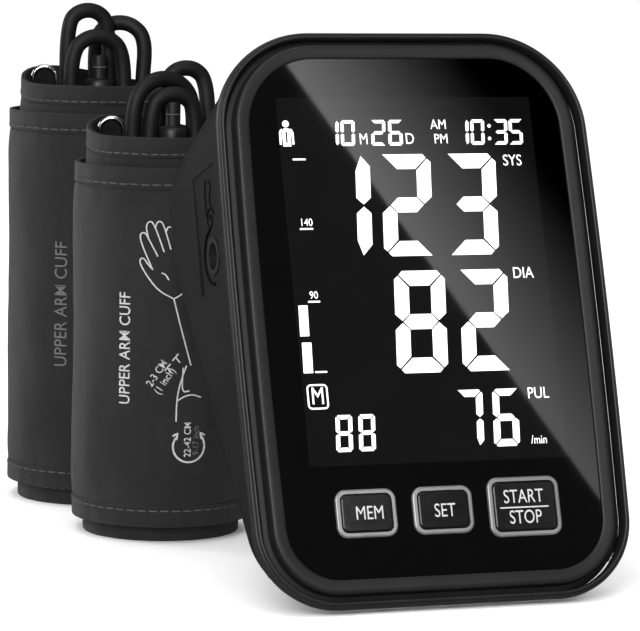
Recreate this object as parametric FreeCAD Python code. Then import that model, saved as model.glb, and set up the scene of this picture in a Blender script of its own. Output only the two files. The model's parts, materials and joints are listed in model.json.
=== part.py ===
import FreeCAD, Part
import math
import os

# Upper arm blood pressure monitor: a wedge-shaped monitor that stands on the
# lower edge of its face and leans back, and two rolled cuffs on end behind it.
# Millimetres, +Z up, the monitor's face towards -Y, +X to its right.
# The origin is on the floor, under the middle of the whole object.
#
# A monitor piece is drawn with its face upright in the plane y = 0: x across,
# y back into the body, z up the face from its lowest edge. stand_up() leans it.

Vector = FreeCAD.Vector
X_AXIS = Vector(1, 0, 0)
Z_AXIS = Vector(0, 0, 1)

# ---------------------------------------------------------------- dimensions

LEAN = 19.4                 # face, degrees back from upright
FACE_WIDTH = 116.0          # at the widest height
FACE_HEIGHT = 171.4
WIDEST_Z = 82.0
SIDE_RADIUS = 2600.0        # the long sides bulge a little
TOP_CORNER = 30.0
LOW_CORNER = 24.0

BEZEL_WIDTH = 8.4           # outer edge of the face to the window
BEZEL_FRONT = -0.7
BEZEL_ROUND = 3.2
TRIM_WIDTH = 1.5
TRIM_FRONT = 3.4
TRIM_BACK = 6.2
GROOVE = 0.12
WALL = 2.4
LIP_GAP = 0.15              # front housing's lip inside the rear cover
PLATE_FRONT = 2.1           # plate behind the window
PLATE_BACK = 4.2
HOUSING_BACK = 8.6

SCREEN_WIDTH = 80.0         # visible part of the display
SCREEN_HEIGHT = 109.7
SCREEN_LOW = 41.4
PANEL_BORDER = 2.0

BACK_START = 5.5            # back plane: depth at z = 0, and its slope
BACK_SLOPE = 0.5
BACK_DEEPEST = 63.5
BACK_BEND = 24.0            # rounding where the slope ends
BACK_EDGE = 6.0
TOP_DRAFT = 0.2             # the shell's top falls towards the back
COVER_FRONT = 6.5
COVER_INSET = 0.5

BUTTON_Z = 27.3
BUTTONS = (                 # name, centre x, width, height
    ("mem", -24.4, 18.5, 14.0),
    ("set", -0.8, 18.5, 14.0),
    ("start", 24.6, 22.4, 17.5),
)
RING_WALL = 1.3
BUTTON_CORNER = 3.2
BUTTON_GAP = 0.25
BUTTON_TRAVEL = 0.8
CAP_BACK = 3.9
STEM_RADIUS = 3.0
STEM_END = 6.6
SWITCH_FRONT = STEM_END + BUTTON_TRAVEL + 0.2
BOARD_FRONT = 10.0
BOARD_THICKNESS = 1.6
BOARD_WIDTH = 90.0
BOARD_LOW = 22.0
BOARD_HIGH = 150.0
BOARD_BACK = BOARD_FRONT + BOARD_THICKNESS

JACK_DEPTH = 20.0           # air jack in the left side
JACK_Z = 108.6
JACK_BORE = 4.0
JACK_BODY = 5.6
JACK_FLANGE = 7.2
JACK_LENGTH = 18.0
JACK_BORE_DEPTH = 14.0
PORT_PLATE_DEPTHS = (12.2, 33.0)
PORT_PLATE_Z = (99.0, 135.0)
PORT_PLATE_SUNK = 0.8

CELL_RADIUS = 7.1           # AA cells
CELL_LENGTH = 50.0
CELL_PITCH = 15.0
TRAY_X = 12.0
TRAY_LOW = 60.5
TRAY_LENGTH = 57.0
TRAY_WALL = 1.5
TRAY_DEPTH = 17.5
DOOR_THICKNESS = 2.2
DOOR_GAP = 0.4
DOOR_LOW = 60.7

SCREW_PLACES = ((-50.3, 27.0), (50.3, 27.0), (-50.3, 132.0), (50.3, 132.0))
BOSS_RADIUS = 3.6
SCREW_RADIUS = 1.4
SCREW_HEAD = 2.7
FOOT_RADIUS = 5.0
FOOT_SUNK = 0.45
FOOT_PROUD = 1.2
FOOT_PLACES = ((-40.0, 22.0), (40.0, 22.0), (-40.0, 128.0), (40.0, 128.0))

PUMP_Z = 144.0
PUMP_DEPTH = 38.0
MOTOR_RADIUS = 12.0
SHAFT_RADIUS = 1.0
SHAFT_FIT = 0.05

# Rolled cuffs: three layers wound as half circles about two centres.
LINING = 0.6
BLADDER = 1.4
COVER = 0.7
LAYER_GAP = 0.05
PITCH = 3.6
CORE_RADIUS = 20.9
ROLL_TURN = 25.0            # where the free end lies, degrees from +X
HALF_TURNS = 4
WIRE = 0.9                  # radius of the ring's wire
RING_WIDTH = 7.6
SLEEVE = 0.6                # cloth round the ring's hinged bar
RING_ANGLE = 161.0
RING_PLACE = 15.4
PORT_ANGLE = -19.0
PORT_PLACE = 16.0
PORT_LOW = 68.0
PLUG_BODY = 4.8
PLUG_TIP = 2.35
HANK_HALF_DEPTH = 12.5

CUFFS = {
    "front": {"place": (-45.9, 147.0), "height": 127.4, "flap": (5.0, 118.2),
              "ring_top": 132.6, "hank": (-12.4, 18.2, 151.0), "port_top": 92.0,
              "plug": (3.6, -2.0), "plug_tip": 137.4, "hank_low": 52.0},
    "rear": {"place": (-50.0, 214.6), "height": 139.4, "flap": (6.0, 130.4),
             "ring_top": 145.2, "hank": (-12.0, 20.0, 165.8), "port_top": 100.0,
             "plug": (2.4, -2.0), "plug_tip": 148.6, "hank_low": 58.0},
}

shapes = {}


# ------------------------------------------------------------------- helpers

def box(x0, x1, y0, y1, z0, z1):
    return Part.makeBox(x1 - x0, y1 - y0, z1 - z0, Vector(x0, y0, z0))


def rod(radius, start, end):
    """A cylinder between two points."""
    path = Vector(*end) - Vector(*start)
    return Part.makeCylinder(radius, path.Length, Vector(*start), path)


def polygon_prism(points, direction):
    """A closed outline of points, pushed along a vector."""
    corners = [Vector(*point) for point in points]
    wire = Part.makePolygon(corners + [corners[0]])
    return Part.Face(wire).extrude(direction)


def side_profile(points, rounds, half_width):
    """An outline in depth and height, with some corners rounded, spread along x."""
    solid = polygon_prism([(-half_width, y, z) for y, z in points], X_AXIS * 2 * half_width)
    for (y, z), radius in rounds:
        edges = [edge for edge in solid.Edges
                 if all(abs(v.Y - y) < 0.01 and abs(v.Z - z) < 0.01 for v in edge.Vertexes)]
        solid = solid.makeFillet(radius, edges)
    return solid


def face_outline(inset, y, drop=0.0):
    """The face's outer edge, moved in by inset and its top lowered, in the plane y."""
    side_x = FACE_WIDTH / 2 - SIDE_RADIUS
    corners = []
    for radius, z in ((LOW_CORNER, LOW_CORNER), (TOP_CORNER, FACE_HEIGHT - TOP_CORNER - drop)):
        reach = SIDE_RADIUS - radius
        x = side_x + math.sqrt(reach ** 2 - (z - WIDEST_Z) ** 2)
        tilt = math.atan2(z - WIDEST_Z, x - side_x)
        corners.append((x, z, radius - inset, tilt))
    (low_x, low_z, low_r, low_tilt), (top_x, top_z, top_r, top_tilt) = corners

    def on_arc(x, z, radius, angle, mirror):
        return Vector(mirror * (x + radius * math.cos(angle)), y, z + radius * math.sin(angle))

    def corner_arc(x, z, radius, start, end, mirror):
        middle = (start + end) / 2
        return Part.Arc(*[on_arc(x, z, radius, a, mirror) for a in (start, middle, end)])

    def side_arc(mirror):
        radius = SIDE_RADIUS - inset
        angles = (low_tilt, (low_tilt + top_tilt) / 2, top_tilt)
        return Part.Arc(*[on_arc(side_x, WIDEST_Z, radius, a, mirror) for a in angles])

    quarter = math.pi / 2
    bottom = LOW_CORNER - low_r
    top = top_z + top_r
    edges = [
        Part.LineSegment(Vector(-low_x, y, bottom), Vector(low_x, y, bottom)),
        corner_arc(low_x, low_z, low_r, -quarter, low_tilt, 1),
        side_arc(1),
        corner_arc(top_x, top_z, top_r, top_tilt, quarter, 1),
        Part.LineSegment(Vector(top_x, y, top), Vector(-top_x, y, top)),
        corner_arc(top_x, top_z, top_r, quarter, top_tilt, -1),
        side_arc(-1),
        corner_arc(low_x, low_z, low_r, low_tilt, -quarter, -1),
    ]
    return Part.Wire(Part.__sortEdges__([edge.toShape() for edge in edges]))


def face_prism(inset, y0, y1):
    return Part.Face(face_outline(inset, y0)).extrude(Vector(0, y1 - y0, 0))


def shell_prism(inset, y0, y1):
    """The face's outline carried back, its top falling with depth."""
    ends = [face_outline(inset, y, TOP_DRAFT * (y - COVER_FRONT)) for y in (y0, y1)]
    return Part.makeLoft(ends, True, True)


def rounded_block(x, z, width, height, radius, y0, y1):
    """A block with its four long edges rounded, centred on x and z."""
    solid = box(x - width / 2, x + width / 2, y0, y1, z - height / 2, z + height / 2)
    edges = [edge for edge in solid.Edges
             if abs(edge.Vertexes[0].Y - edge.Vertexes[1].Y) > 0.01]
    return solid.makeFillet(radius, edges)


def edges_at_depth(solid, y):
    return [edge for edge in solid.Edges
            if all(abs(vertex.Y - y) < 0.01 for vertex in edge.Vertexes)]


def on_back(shape):
    """Lays a piece on the sloping back: y = 0 is the back plane, z runs up it."""
    shape = shape.copy()
    shape.rotate(Vector(0, 0, 0), X_AXIS, -math.degrees(math.atan(BACK_SLOPE)))
    shape.translate(Vector(0, BACK_START, 0))
    return shape


def stand_up(shape):
    """Leans a monitor piece back and lifts it until its lower edge is at z = 0."""
    shape = shape.copy()
    shape.rotate(Vector(0, 0, 0), X_AXIS, -LEAN)
    shape.translate(Vector(0, 0, TRIM_BACK * math.sin(math.radians(LEAN))))
    return shape


# ------------------------------------------------------------- monitor shell

def wedge(inset):
    """The region in front of the back plane, bounded by depth and height."""
    slope_shift = inset * math.sqrt(1 + BACK_SLOPE ** 2)
    deepest = BACK_DEEPEST - inset
    start = BACK_START - slope_shift
    bend_z = (deepest - start) / BACK_SLOPE
    profile = [
        (0.0, -start / BACK_SLOPE),
        (deepest, bend_z),
        (deepest, FACE_HEIGHT + 6.0),
        (0.0, FACE_HEIGHT + 6.0),
    ]
    return side_profile(profile, [((deepest, bend_z), BACK_BEND)], FACE_WIDTH)


def back_edges(solid):
    """The edges where the body's back meets its sides."""
    chosen = []
    for edge in solid.Edges:
        middle = edge.valueAt((edge.FirstParameter + edge.LastParameter) / 2)
        depths = [vertex.Y for vertex in edge.Vertexes] + [middle.y]
        crosswise = abs(edge.Vertexes[0].X - edge.Vertexes[-1].X) > FACE_WIDTH / 2
        if min(depths) > COVER_FRONT + 1.0 and not crosswise:
            tangents = edge.tangentAt(edge.FirstParameter)
            if abs(tangents.y) < 0.98:
                chosen.append(edge)
    return chosen


def make_rear_cover():
    outer = shell_prism(COVER_INSET, COVER_FRONT, BACK_DEEPEST + 5).common(wedge(0.0))
    try:
        outer = outer.makeFillet(BACK_EDGE, back_edges(outer))
    except Exception as error:
        print("back edges left sharp:", error)
    inner = shell_prism(COVER_INSET + WALL, COVER_FRONT - 1, BACK_DEEPEST + 5).common(wedge(WALL))
    cover = outer.cut(inner)

    for x, z in SCREW_PLACES:
        boss = rod(BOSS_RADIUS, (x, HOUSING_BACK + 0.2, z), (x, BACK_DEEPEST, z)).common(outer)
        cover = cover.fuse(boss)
    for x, z in SCREW_PLACES:
        back = BACK_START + BACK_SLOPE * z
        seat = min(back, BACK_DEEPEST) - 6.0 if z > SCREEN_LOW else back - 3.5
        cover = cover.cut(rod(SCREW_HEAD + 0.3, (x, seat, z), (x, BACK_DEEPEST + 2, z)))
        cover = cover.cut(rod(SCREW_RADIUS + 0.05, (x, COVER_FRONT, z), (x, seat, z)))

    opening = box(TRAY_X - 33.0, TRAY_X + 33.0, -4, 3, TRAY_LOW - 0.5, TRAY_LOW + TRAY_LENGTH + 0.5)
    cover = cover.cut(on_back(opening))
    for x, z in FOOT_PLACES:
        cover = cover.cut(on_back(rod(FOOT_RADIUS + 0.1, (x, -FOOT_SUNK - 0.05, z), (x, 3, z))))

    (y0, y1), (z0, z1) = PORT_PLATE_DEPTHS, PORT_PLATE_Z
    recess = box(-60, -FACE_WIDTH / 2 + COVER_INSET + PORT_PLATE_SUNK + 1.0, y0, y1, z0, z1)
    cover = cover.cut(recess)
    cover = cover.cut(rod(JACK_BODY + 0.1, (-60, JACK_DEPTH, JACK_Z), (-40, JACK_DEPTH, JACK_Z)))
    shapes["rear_cover"] = cover


def make_front_housing():
    body = face_prism(TRIM_WIDTH + GROOVE, BEZEL_FRONT, HOUSING_BACK)
    body = body.makeFillet(BEZEL_ROUND, edges_at_depth(body, BEZEL_FRONT))
    body = body.cut(face_prism(BEZEL_WIDTH, BEZEL_FRONT - 1, PLATE_FRONT))
    body = body.cut(face_prism(TRIM_WIDTH + GROOVE + WALL, PLATE_BACK, HOUSING_BACK + 1))
    rebate = face_prism(-1.0, TRIM_BACK + 0.1, HOUSING_BACK + 1)
    body = body.cut(rebate.cut(shell_prism(COVER_INSET + WALL + LIP_GAP, TRIM_BACK, HOUSING_BACK + 2)))
    behind_trim = box(-FACE_WIDTH, FACE_WIDTH, TRIM_BACK + 0.1, HOUSING_BACK + 1, -1, SCREEN_LOW)
    body = body.cut(behind_trim.cut(wedge(WALL + LIP_GAP)))
    middle = SCREEN_LOW + SCREEN_HEIGHT / 2
    window_w = SCREEN_WIDTH + 2 * PANEL_BORDER + 0.6
    window_h = SCREEN_HEIGHT + 2 * PANEL_BORDER + 0.6
    body = body.cut(rounded_block(0, middle, window_w, window_h, 1.0, 0, 6))
    for name, x, width, height in BUTTONS:
        inner_w = width - 2 * RING_WALL
        inner_h = height - 2 * RING_WALL
        body = body.cut(rounded_block(x, BUTTON_Z, inner_w, inner_h, 2.0, 0, 6))
    for x, z in SCREW_PLACES:
        body = body.fuse(rod(BOSS_RADIUS, (x, PLATE_BACK, z), (x, HOUSING_BACK, z)))
        body = body.cut(rod(SCREW_RADIUS + 0.05, (x, PLATE_BACK + 0.6, z), (x, HOUSING_BACK + 1, z)))
    shapes["front_housing"] = body


def make_trim_ring():
    ring = face_prism(0.0, TRIM_FRONT, TRIM_BACK)
    ring = ring.makeFillet(0.6, edges_at_depth(ring, TRIM_FRONT) + edges_at_depth(ring, TRIM_BACK))
    shapes["trim_ring"] = ring.cut(face_prism(TRIM_WIDTH, TRIM_FRONT - 1, TRIM_BACK + 1))


def make_window():
    window = face_prism(BEZEL_WIDTH + 0.1, 0.0, PLATE_FRONT)
    for name, x, width, height in BUTTONS:
        hole = rounded_block(x, BUTTON_Z, width + 0.1, height + 0.1, BUTTON_CORNER, -1, 4)
        window = window.cut(hole)
    shapes["display_window"] = window


def make_display():
    middle = SCREEN_LOW + SCREEN_HEIGHT / 2
    width = SCREEN_WIDTH + 2 * PANEL_BORDER
    height = SCREEN_HEIGHT + 2 * PANEL_BORDER
    shapes["lcd_panel"] = rounded_block(0, middle, width, height, 0.8, PLATE_FRONT + 0.2, 4.9)
    shapes["backlight_guide"] = rounded_block(0, middle, width, height, 0.8, 5.0, 8.0)
    holder = rounded_block(0, middle, width + 6, height + 3.2, 2.0, 4.4, BOARD_FRONT)
    holder = holder.cut(rounded_block(0, middle, width + 0.4, height + 0.4, 0.8, 4, 8.1))
    holder = holder.cut(rounded_block(0, middle, width - 8, height - 8, 0.8, 8, 11))
    shapes["lcd_holder"] = holder


def make_buttons():
    switches = []
    for name, x, width, height in BUTTONS:
        ring = rounded_block(x, BUTTON_Z, width, height, BUTTON_CORNER, -0.8, PLATE_FRONT - 0.05)
        ring = ring.makeFillet(0.5, edges_at_depth(ring, -0.8))
        hole_w = width - 2 * RING_WALL
        hole_h = height - 2 * RING_WALL
        ring = ring.cut(rounded_block(x, BUTTON_Z, hole_w, hole_h, 2.0, -2, 4))
        shapes["button_ring_" + name] = ring
        cap_w = hole_w - 2 * BUTTON_GAP
        cap_h = hole_h - 2 * BUTTON_GAP
        cap = rounded_block(x, BUTTON_Z, cap_w, cap_h, 1.8, -1.0, CAP_BACK)
        cap = cap.makeFillet(0.5, edges_at_depth(cap, -1.0))
        stem = rod(STEM_RADIUS, (x, CAP_BACK - 0.5, BUTTON_Z), (x, STEM_END, BUTTON_Z))
        shapes["button_" + name] = cap.fuse(stem)
        switches.append(box(x - 3, x + 3, SWITCH_FRONT + 0.8, BOARD_FRONT, BUTTON_Z - 3, BUTTON_Z + 3)
                        .fuse(rod(1.7, (x, SWITCH_FRONT, BUTTON_Z), (x, SWITCH_FRONT + 1, BUTTON_Z))))
    shapes["button_switches"] = Part.makeCompound(switches)


def make_board():
    board = box(-BOARD_WIDTH / 2, BOARD_WIDTH / 2, BOARD_FRONT, BOARD_BACK, BOARD_LOW, BOARD_HIGH)
    for side in (-1, 1):
        for z in (BOARD_LOW, BOARD_HIGH):
            notch = box(-4, 4, 9, 13, -4, 4)
            notch.translate(Vector(side * BOARD_WIDTH / 2, 0, z))
            board = board.cut(notch)
    shapes["main_board"] = board
    shapes["processor_chip"] = box(-6, 6, BOARD_BACK, BOARD_BACK + 1.6, 38, 50)
    buzzer = rod(6.0, (28, BOARD_BACK, 42), (28, BOARD_BACK + 4.5, 42))
    shapes["buzzer"] = buzzer.cut(rod(1.2, (28, BOARD_BACK + 2, 42), (28, BOARD_BACK + 6, 42)))
    sensor = box(-43, -33, BOARD_BACK, BOARD_BACK + 4, 82, 92)
    shapes["pressure_sensor"] = sensor.fuse(rod(1.5, (-38, BOARD_BACK + 3.5, 87), (-38, 22, 87)))


# ---------------------------------------------------------------- air system

def make_air_jack():
    left = -FACE_WIDTH / 2 + COVER_INSET
    (y0, y1), (z0, z1) = PORT_PLATE_DEPTHS, PORT_PLATE_Z
    plate_x = left + PORT_PLATE_SUNK
    plate = box(plate_x, plate_x + 1.0, y0 + 0.05, y1 - 0.05, z0 + 0.05, z1 - 0.05)
    plate = plate.cut(rod(JACK_BODY + 0.1, (-60, JACK_DEPTH, JACK_Z), (-40, JACK_DEPTH, JACK_Z)))
    shapes["port_plate"] = plate
    rim_end = left + 0.4
    body = rod(JACK_BODY, (rim_end, JACK_DEPTH, JACK_Z), (rim_end + JACK_LENGTH, JACK_DEPTH, JACK_Z))
    lip_x = left + WALL + 0.5
    body = body.fuse(rod(JACK_FLANGE, (lip_x, JACK_DEPTH, JACK_Z), (lip_x + 2, JACK_DEPTH, JACK_Z)))
    tail_end = rim_end + JACK_LENGTH + 6
    body = body.fuse(rod(1.6, (rim_end + JACK_LENGTH - 1, JACK_DEPTH, JACK_Z),
                         (tail_end, JACK_DEPTH, JACK_Z)))
    bore_end = rim_end + JACK_BORE_DEPTH
    body = body.cut(rod(JACK_BORE, (rim_end - 1, JACK_DEPTH, JACK_Z), (bore_end, JACK_DEPTH, JACK_Z)))
    body = body.cut(rod(0.8, (bore_end - 1, JACK_DEPTH, JACK_Z), (tail_end + 1, JACK_DEPTH, JACK_Z)))
    shapes["air_jack"] = body


def make_pump():
    y, z = PUMP_DEPTH, PUMP_Z
    motor = rod(MOTOR_RADIUS, (4, y, z), (34, y, z))
    shapes["pump_motor"] = motor.cut(rod(SHAFT_RADIUS + SHAFT_FIT, (3, y, z), (35, y, z)))
    head = box(-20, 3.9, y - 12.5, y + 12.5, z - 12.5, z + 11.0)
    head = head.fuse(rod(2.0, (-19, y - 6, z), (-24.5, y - 6, z)))
    head = head.cut(rod(8.0, (-14, y, z), (5, y, z)))
    shapes["pump_head"] = head
    shaft = rod(SHAFT_RADIUS, (-6, y, z), (36, y, z))
    shapes["pump_shaft"] = shaft.fuse(rod(4.0, (-11, y + 1.8, z), (-6, y + 1.8, z)))
    saddle = box(8, 30, BOARD_BACK + 0.1, y - 4, z - 9, z + 9)
    shapes["pump_bracket"] = saddle.cut(rod(MOTOR_RADIUS + 0.1, (5, y, z), (33, y, z)))


def make_valve():
    y, z = 43.0, 139.0
    body = rod(6.5, (-45.5, y, z), (-29, y, z))
    body = body.cut(rod(1.55, (-47, y, z), (-31, y, z)))
    shapes["exhaust_valve"] = body
    shapes["valve_plunger"] = rod(1.5, (-47.5, y, z), (-32, y, z))


def bent_tube(points, radius):
    """A soft tube through three points, round the middle one."""
    start, corner, end = [Vector(*point) for point in points]
    before = (start - corner).normalize()
    after = (end - corner).normalize()
    run = min((start - corner).Length, (end - corner).Length) * 0.45
    first = corner + before * run
    second = corner + after * run
    half_turn = (math.pi - before.getAngle(after)) / 2
    sagitta = run * math.tan(half_turn / 2)
    towards = (before + after).normalize()
    bow = corner + towards * (run * math.sin(half_turn) - sagitta * math.cos(half_turn))
    path = Part.Wire([Part.LineSegment(start, first).toShape(),
                      Part.Arc(first, bow, second).toShape(),
                      Part.LineSegment(second, end).toShape()])
    ring = Part.Wire(Part.makeCircle(radius, start, corner - start))
    return path.makePipeShell([ring], True, True)


def make_tubing():
    shapes["air_manifold"] = box(-38, -30, 25, 35, 118, 134)
    jack_tail = -FACE_WIDTH / 2 + COVER_INSET + 0.4 + JACK_LENGTH + 6
    from_jack = bent_tube(((jack_tail + 0.1, JACK_DEPTH, JACK_Z), (-31.5, 20.5, JACK_Z + 1),
                           (-32, 27.5, 117.9)), 1.7)
    from_pump = bent_tube(((-24.7, PUMP_DEPTH - 6, PUMP_Z), (-33, PUMP_DEPTH - 6.5, PUMP_Z - 1),
                           (-34, 31, 134.1)), 1.7)
    from_sensor = bent_tube(((-38, 22.1, 87), (-38, 31, 89), (-36.5, 32, 117.9)), 1.7)
    shapes["air_tubes"] = Part.makeCompound([from_jack, from_pump, from_sensor])


# ------------------------------------------------------------ battery bay

def make_battery_bay():
    half = 2 * CELL_PITCH + 1.4
    top = TRAY_LOW + TRAY_LENGTH
    tray = box(TRAY_X - half - TRAY_WALL, TRAY_X + half + TRAY_WALL, -TRAY_DEPTH - TRAY_WALL,
               -WALL - 0.2, TRAY_LOW - TRAY_WALL, top + TRAY_WALL)
    tray = tray.cut(box(TRAY_X - half, TRAY_X + half, -TRAY_DEPTH, 0, TRAY_LOW, top))
    shapes["battery_tray"] = on_back(tray)

    cell_low = TRAY_LOW + 3.8
    cell_y = -TRAY_DEPTH + CELL_RADIUS + 0.1
    contacts = []
    for index in range(4):
        x = TRAY_X + (index - 1.5) * CELL_PITCH
        cell = rod(CELL_RADIUS, (x, cell_y, cell_low), (x, cell_y, cell_low + CELL_LENGTH - 1))
        nub = rod(2.7, (x, cell_y, cell_low + CELL_LENGTH - 2), (x, cell_y, cell_low + CELL_LENGTH))
        cell = cell.fuse(nub)
        if index % 2:
            middle = Vector(x, cell_y, TRAY_LOW + TRAY_LENGTH / 2)
            cell.rotate(middle, Vector(0, 1, 0), 180)
        shapes["battery_%d" % (index + 1)] = on_back(cell)
        for z in (TRAY_LOW + 0.1, top - 0.7):
            contacts.append(box(x - 5, x + 5, cell_y - 5, cell_y + 5, z, z + 0.6))
    shapes["battery_contacts"] = on_back(Part.makeCompound(contacts))

    door_half = half + 1.4 - DOOR_GAP
    hinge_r = DOOR_THICKNESS / 2
    hinge_z = DOOR_LOW + hinge_r
    door = box(TRAY_X - door_half, TRAY_X + door_half, -DOOR_THICKNESS, 0,
               hinge_z, top + 0.3 - DOOR_GAP)
    barrel = rod(hinge_r, (TRAY_X - door_half, -hinge_r, hinge_z), (TRAY_X + door_half, -hinge_r, hinge_z))
    tongue = box(TRAY_X - 8, TRAY_X + 8, -DOOR_THICKNESS - 2.5, -DOOR_THICKNESS + 0.5, top - 2.4, top - 1.0)
    ribs = [box(TRAY_X - 6, TRAY_X + 6, -0.1, 0.5, top - 9 + step, top - 8.2 + step)
            for step in (0.0, 2.2, 4.4)]
    door = door.fuse([barrel, tongue] + ribs).removeSplitter()
    shapes["battery_door"] = on_back(door)


def make_fasteners():
    screws = []
    for x, z in SCREW_PLACES:
        back = BACK_START + BACK_SLOPE * z
        seat = min(back, BACK_DEEPEST) - 6.0 if z > SCREEN_LOW else back - 3.5
        head = rod(SCREW_HEAD, (x, seat, z), (x, seat + 1.8, z))
        head = head.cut(box(x - 1.6, x + 1.6, seat + 1.0, seat + 3, z - 0.35, z + 0.35))
        head = head.cut(box(x - 0.35, x + 0.35, seat + 1.0, seat + 3, z - 1.6, z + 1.6))
        screws.append(head.fuse(rod(SCREW_RADIUS, (x, PLATE_BACK + 1.2, z), (x, seat + 0.5, z))))
    shapes["housing_screws"] = Part.makeCompound(screws)
    feet = [rod(FOOT_RADIUS, (x, -FOOT_SUNK, z), (x, FOOT_PROUD, z)) for x, z in FOOT_PLACES]
    shapes["rubber_feet"] = on_back(Part.makeCompound(feet))


# --------------------------------------------------------------------- cuffs

def roll_centre(half_turn):
    """Half turns are wound about two centres, half a pitch apart."""
    return Vector(PITCH / 2 * (half_turn % 2), 0, 0)


def roll_arc(half_turn, radius):
    centre = roll_centre(half_turn)
    side = -1 if half_turn % 2 else 1
    return Part.Arc(centre + Vector(side * radius, 0, 0), centre + Vector(0, side * radius, 0),
                    centre + Vector(-side * radius, 0, 0)).toShape()


def wound_band(offset, thickness, first, last, low, high):
    """One layer of the roll, from one half turn to another, as a closed solid."""
    inner = []
    outer = []
    for half_turn in range(first, last + 1):
        radius = CORE_RADIUS + half_turn * PITCH / 2 + offset
        inner.append(roll_arc(half_turn, radius))
        outer.append(roll_arc(half_turn, radius + thickness))
    start = Part.LineSegment(inner[0].Vertexes[0].Point, outer[0].Vertexes[0].Point).toShape()
    end = Part.LineSegment(inner[-1].Vertexes[-1].Point, outer[-1].Vertexes[-1].Point).toShape()
    wire = Part.Wire(Part.__sortEdges__(inner + [end] + outer + [start]))
    band = Part.Face(wire).extrude(Z_AXIS * (high - low))
    band.translate(Z_AXIS * low)
    return band


def arc_strip(centre, radius, thickness, start, end, low, high):
    """A thin curved strip about an upright axis, between two angles."""
    def point(r, angle):
        a = math.radians(angle)
        return centre + Vector(r * math.cos(a), r * math.sin(a), low)
    middle = (start + end) / 2
    outer_r = radius + thickness
    edges = [
        Part.Arc(point(radius, start), point(radius, middle), point(radius, end)).toShape(),
        Part.LineSegment(point(radius, end), point(outer_r, end)).toShape(),
        Part.Arc(point(outer_r, end), point(outer_r, middle), point(outer_r, start)).toShape(),
        Part.LineSegment(point(outer_r, start), point(radius, start)).toShape(),
    ]
    return Part.Face(Part.Wire(edges)).extrude(Z_AXIS * (high - low))


def wire_loop(width, low, high):
    """A long wire ring in the plane y = 0, its straight bars upright."""
    half = width / 2
    solids = [rod(WIRE, (side * half, 0, low), (side * half, 0, high)) for side in (-1, 1)]
    for z, turn in ((low, 180), (high, -180)):
        disc = Part.Face(Part.Wire(Part.makeCircle(WIRE, Vector(-half, 0, z), Z_AXIS)))
        solids.append(disc.revolve(Vector(0, 0, z), Vector(0, -1, 0) if turn > 0 else Vector(0, 1, 0), 180))
    return solids[0].fuse(solids[1:]).removeSplitter()


def place_polar(radius, degrees):
    a = math.radians(degrees)
    return radius * math.cos(a), radius * math.sin(a)


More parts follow.
